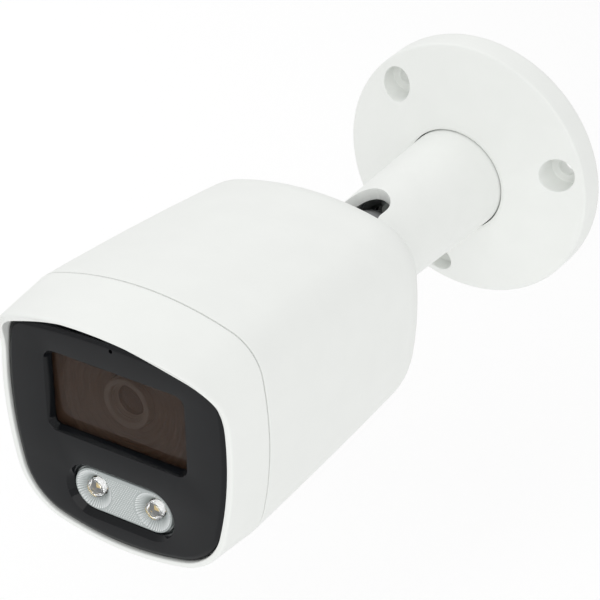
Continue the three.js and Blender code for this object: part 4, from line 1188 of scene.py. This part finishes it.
class AddLampOptic(Maker):
    """Pale optic with two fluted cups and a field of small prisms, and two clear domes"""
    bl_idname = "camera_part.lamp_optic"
    bl_label = "Lamp optic"

    def build(self, scene):
        s = in_mm(scene.camera_front)
        face_at, deep_at, back_at = s.optic_face, s.optic_floor, s.optic_back
        flange, flange_at = s.optic_flange, s.optic_flange_at
        rim = s.lamp_radius - s.lamp_bevel
        wall = [deep(stadium(s.lamp_pitch, rim - inset, s.lamp_height), depth) for inset, depth in
                ((0.3, face_at), (0.08, face_at + 0.08), (0, face_at + 0.3), (0, flange_at),
                 (-flange, flange_at + 0.05), (-flange, back_at))]
        cups, flutes, domes = [], [], []
        for way in (-1, 1):
            x, z = way * s.lamp_pitch / 2, s.lamp_height
            steps = ((s.cup, face_at), (s.cup - 0.06, face_at + 0.1), (s.dome + 0.1, deep_at),
                     (s.dome + 0.1, back_at))
            cups.append([deep(circle(r, x, z, 96), d) for r, d in steps])
            ridge = self.ridge(s.dome + 0.25, s.cup - 0.1, face_at + 0.12, deep_at, x, z,
                               s.flutes)
            flutes.append(repeat_round("flutes", ridge, s.flutes, (x, z),
                                       FINISHES["clear_plastic"]))
            domes.append(self.dome(s.dome, x, z, deep_at))
        body = plate("optic_body", wall, cups)
        prisms = self.prisms(s, rim - 0.35, face_at)
        optic = merge("lamp_optic_clear", [body, prisms, *flutes])
        hand_over(optic, "camera", "clear_plastic", FINISHES["clear_plastic"], "light_optic",
                  matrix=FACE_MATRIX)
        clear = merge("lamp_domes_clear", domes)
        hand_over(clear, "camera", "clear_plastic", FINISHES["clear_dome"], matrix=FACE_MATRIX)

    def ridge(self, inner, outer, high, low, x, z, count):
        """One flute: a ridge that runs up the side of the cup."""
        wide = math.pi / count * 0.86       # leaves a narrow valley between two flutes
        verts = []
        for radius, depth in ((inner, low), (outer, high)):
            for angle, lift in ((-wide, 0.12), (0, -0.34), (wide, 0.12)):
                verts.append((x + radius * math.cos(angle), depth + lift,
                              z + radius * math.sin(angle)))
        faces = [(0, 1, 4, 3), (1, 2, 5, 4), (0, 3, 5, 2), (0, 2, 1), (3, 4, 5)]
        # The mark feeds the optic's painted shade in the valleys between flutes.
        return mark_crests_for_shade(make_object("ridge", verts, faces, 20), -0.3)

    def dome(self, radius, x, z, back):
        """A clear collimator over one lamp."""
        shoulder, top, bulge, edge = 1.7, 1.42, 0.22, 0.25
        profile = [(0, back + 0.6), (radius - 0.4, back + 0.6), (radius - 0.05, back - 0.6),
                   (radius, shoulder), *arc((radius - edge, shoulder), edge, 0, -90, 4),
                   *[(radius * t, top - bulge * (1 - t * t)) for t in np.linspace(0.86, 0, 8)]]
        return turned("dome", profile, 64, (x, z))

    def prisms(self, s, rim, top):
        """Small prisms on the optic's face, outside the cups."""
        pitch = s.prism_pitch
        row_step = pitch * 0.87
        rim_margin, cup_margin, height = 0.3, 0.35, 0.2
        points = []
        half = s.lamp_pitch / 2 + rim
        count = int(2 * half / pitch)
        for i in range(count + 1):
            for j in range(count + 1):
                x = -half + (i + 0.5 * (j % 2)) * pitch
                z = s.lamp_height - half + j * row_step
                away = max(abs(x) - s.lamp_pitch / 2, 0)
                if math.hypot(away, z - s.lamp_height) > rim - rim_margin:
                    continue
                cup = math.hypot(abs(x) - s.lamp_pitch / 2, z - s.lamp_height)
                if cup > s.cup + cup_margin:
                    points.append((x, top + 0.01, z))
        sheet = bpy.data.meshes.new("points")
        sheet.from_pydata([tuple(c * MM for c in p) for p in points], [], [])
        holder = bpy.data.objects.new("points", sheet)
        bpy.context.scene.collection.objects.link(holder)
        r = pitch * 0.5
        corners = [(r * math.cos(a), 0.02, r * math.sin(a))
                   for a in np.radians((45, 135, 225, 315))]
        prism = make_object("prism", [*corners, (0, -height, 0)],
                            [(0, 1, 2, 3), (0, 1, 4), (1, 2, 4), (2, 3, 4), (3, 0, 4)], 10)
        # The mark feeds the optic's painted shade between the prisms.
        mark_crests_for_shade(prism, -height / 2)
        tree = bpy.data.node_groups.get("prism_sheet") or prism_tree()
        return grow_tree("prisms", tree, {"Sheet": holder, "Piece": prism,
                                          "Material": FINISHES["clear_plastic"]})


class DressNodes(Maker):
    """Gives each remaining CAD node the finish of its slot"""
    bl_idname = "camera_part.dress_nodes"
    bl_label = "Finish the inner parts"

    def build(self, scene):
        slots = {row["node"]: row["material_slot"] for row in frame["record"]["subparts"]}
        for name, node in frame["nodes"].items():
            node.data.materials.clear()
            node.data.materials.append(FINISHES[slots[name]])


# ------------------------------------------------------------------ studio
CAMERA_AT = (0.295772, -0.500559, 0.316307)
CAMERA_AIM = (0.000309, -0.083929, 0.001125)
CAMERA_ROLL = math.radians(2.19)
CAMERA_LENS = 151.88
KEY_LIGHT = ((0.7, -1.1, 0.9), 1.4)      # place and width of the disc
BACK_LIGHT = ((-0.7, 0.3, 0.9), 1.0)
LIGHT_AIM = (0, -0.08, 0)


class AddStudio(Maker):
    """Pale floor, soft white light and the camera"""
    bl_idname = "camera_part.studio"
    bl_label = "Studio"

    def build(self, scene):
        settings = scene.camera_studio
        self.floor(settings.floor)
        self.sky(scene, settings.sky)
        self.light("key_light", *KEY_LIGHT, settings.key)
        self.light("back_light", *BACK_LIGHT, settings.key * 0.5)
        lens = bpy.data.cameras.new("studio_camera")
        lens.lens = CAMERA_LENS
        camera = bpy.data.objects.new("studio_camera", lens)
        scene.collection.objects.link(camera)
        look = (Vector(CAMERA_AIM) - Vector(CAMERA_AT)).to_track_quat("-Z", "Y")
        turn = look.to_matrix().to_4x4() @ Matrix.Rotation(-CAMERA_ROLL, 4, "Z")
        camera.matrix_world = Matrix.Translation(CAMERA_AT) @ turn
        scene.camera = camera
        scene.view_settings.view_transform = "Standard"

    def floor(self, height):
        """A wide square of paper under the part."""
        half = 6.0
        mesh = bpy.data.meshes.new("studio_floor")
        mesh.from_pydata([(-half, -half, height), (half, -half, height), (half, half, height),
                          (-half, half, height)], [], [(0, 1, 2, 3)])
        mesh.materials.append(studio_floor())
        obj = bpy.data.objects.new("studio_floor", mesh)
        bpy.context.scene.collection.objects.link(obj)

    def sky(self, scene, strength):
        """Even white light from all round."""
        world = bpy.data.worlds.new("studio_sky")
        world.use_nodes = True
        glow = world.node_tree.nodes["Background"]
        glow.inputs["Color"].default_value = (1, 1, 1, 1)
        glow.inputs["Strength"].default_value = strength
        scene.world = world

    def light(self, name, place, size, power):
        """A soft round light that points at the part."""
        lamp = bpy.data.lights.new(name, "AREA")
        lamp.shape = "DISK"
        lamp.size = size
        lamp.energy = power
        obj = bpy.data.objects.new(name, lamp)
        bpy.context.scene.collection.objects.link(obj)
        aim = Vector(LIGHT_AIM) - Vector(place)
        turn = aim.to_track_quat("-Z", "Y").to_matrix().to_4x4()
        obj.matrix_world = Matrix.Translation(place) @ turn


class CameraPanel(bpy.types.Panel):
    """Lists the parts of the security camera"""
    bl_idname = "VIEW3D_PT_security_camera"
    bl_label = "Security Camera"
    bl_space_type = "VIEW_3D"
    bl_region_type = "UI"
    bl_category = "Security Camera"

    def draw(self, context):
        for part in PARTS:
            self.layout.operator(part.bl_idname)


PARTS = (DressNodes, AddWallBase, AddArm, AddKnuckle, AddCoverScrews, AddRearHousing,
         AddFrontShell, AddFrontPanel, AddWindow, AddBaffle, AddLens, AddLampOptic, AddStudio)
GROUPS = {"camera_bracket": BracketSizes, "camera_knuckle": KnuckleSizes,
          "camera_shells": ShellSizes, "camera_front": FrontSizes,
          "camera_studio": StudioSettings}
CLASSES = (*GROUPS.values(), *PARTS, CameraPanel)


def register():
    for cls in CLASSES:
        bpy.utils.register_class(cls)
    for name, cls in GROUPS.items():
        setattr(bpy.types.Scene, name, bpy.props.PointerProperty(type=cls))


def unregister():
    for name in GROUPS:
        delattr(bpy.types.Scene, name)
    for cls in reversed(CLASSES):
        bpy.utils.unregister_class(cls)


def main():
    """Registers the add-on, makes the finishes and builds every part."""
    register()
    make_finishes()
    for part in PARTS:
        group, name = part.bl_idname.split(".")
        getattr(getattr(bpy.ops, group), name)()


if __name__ == "__main__":
    main()
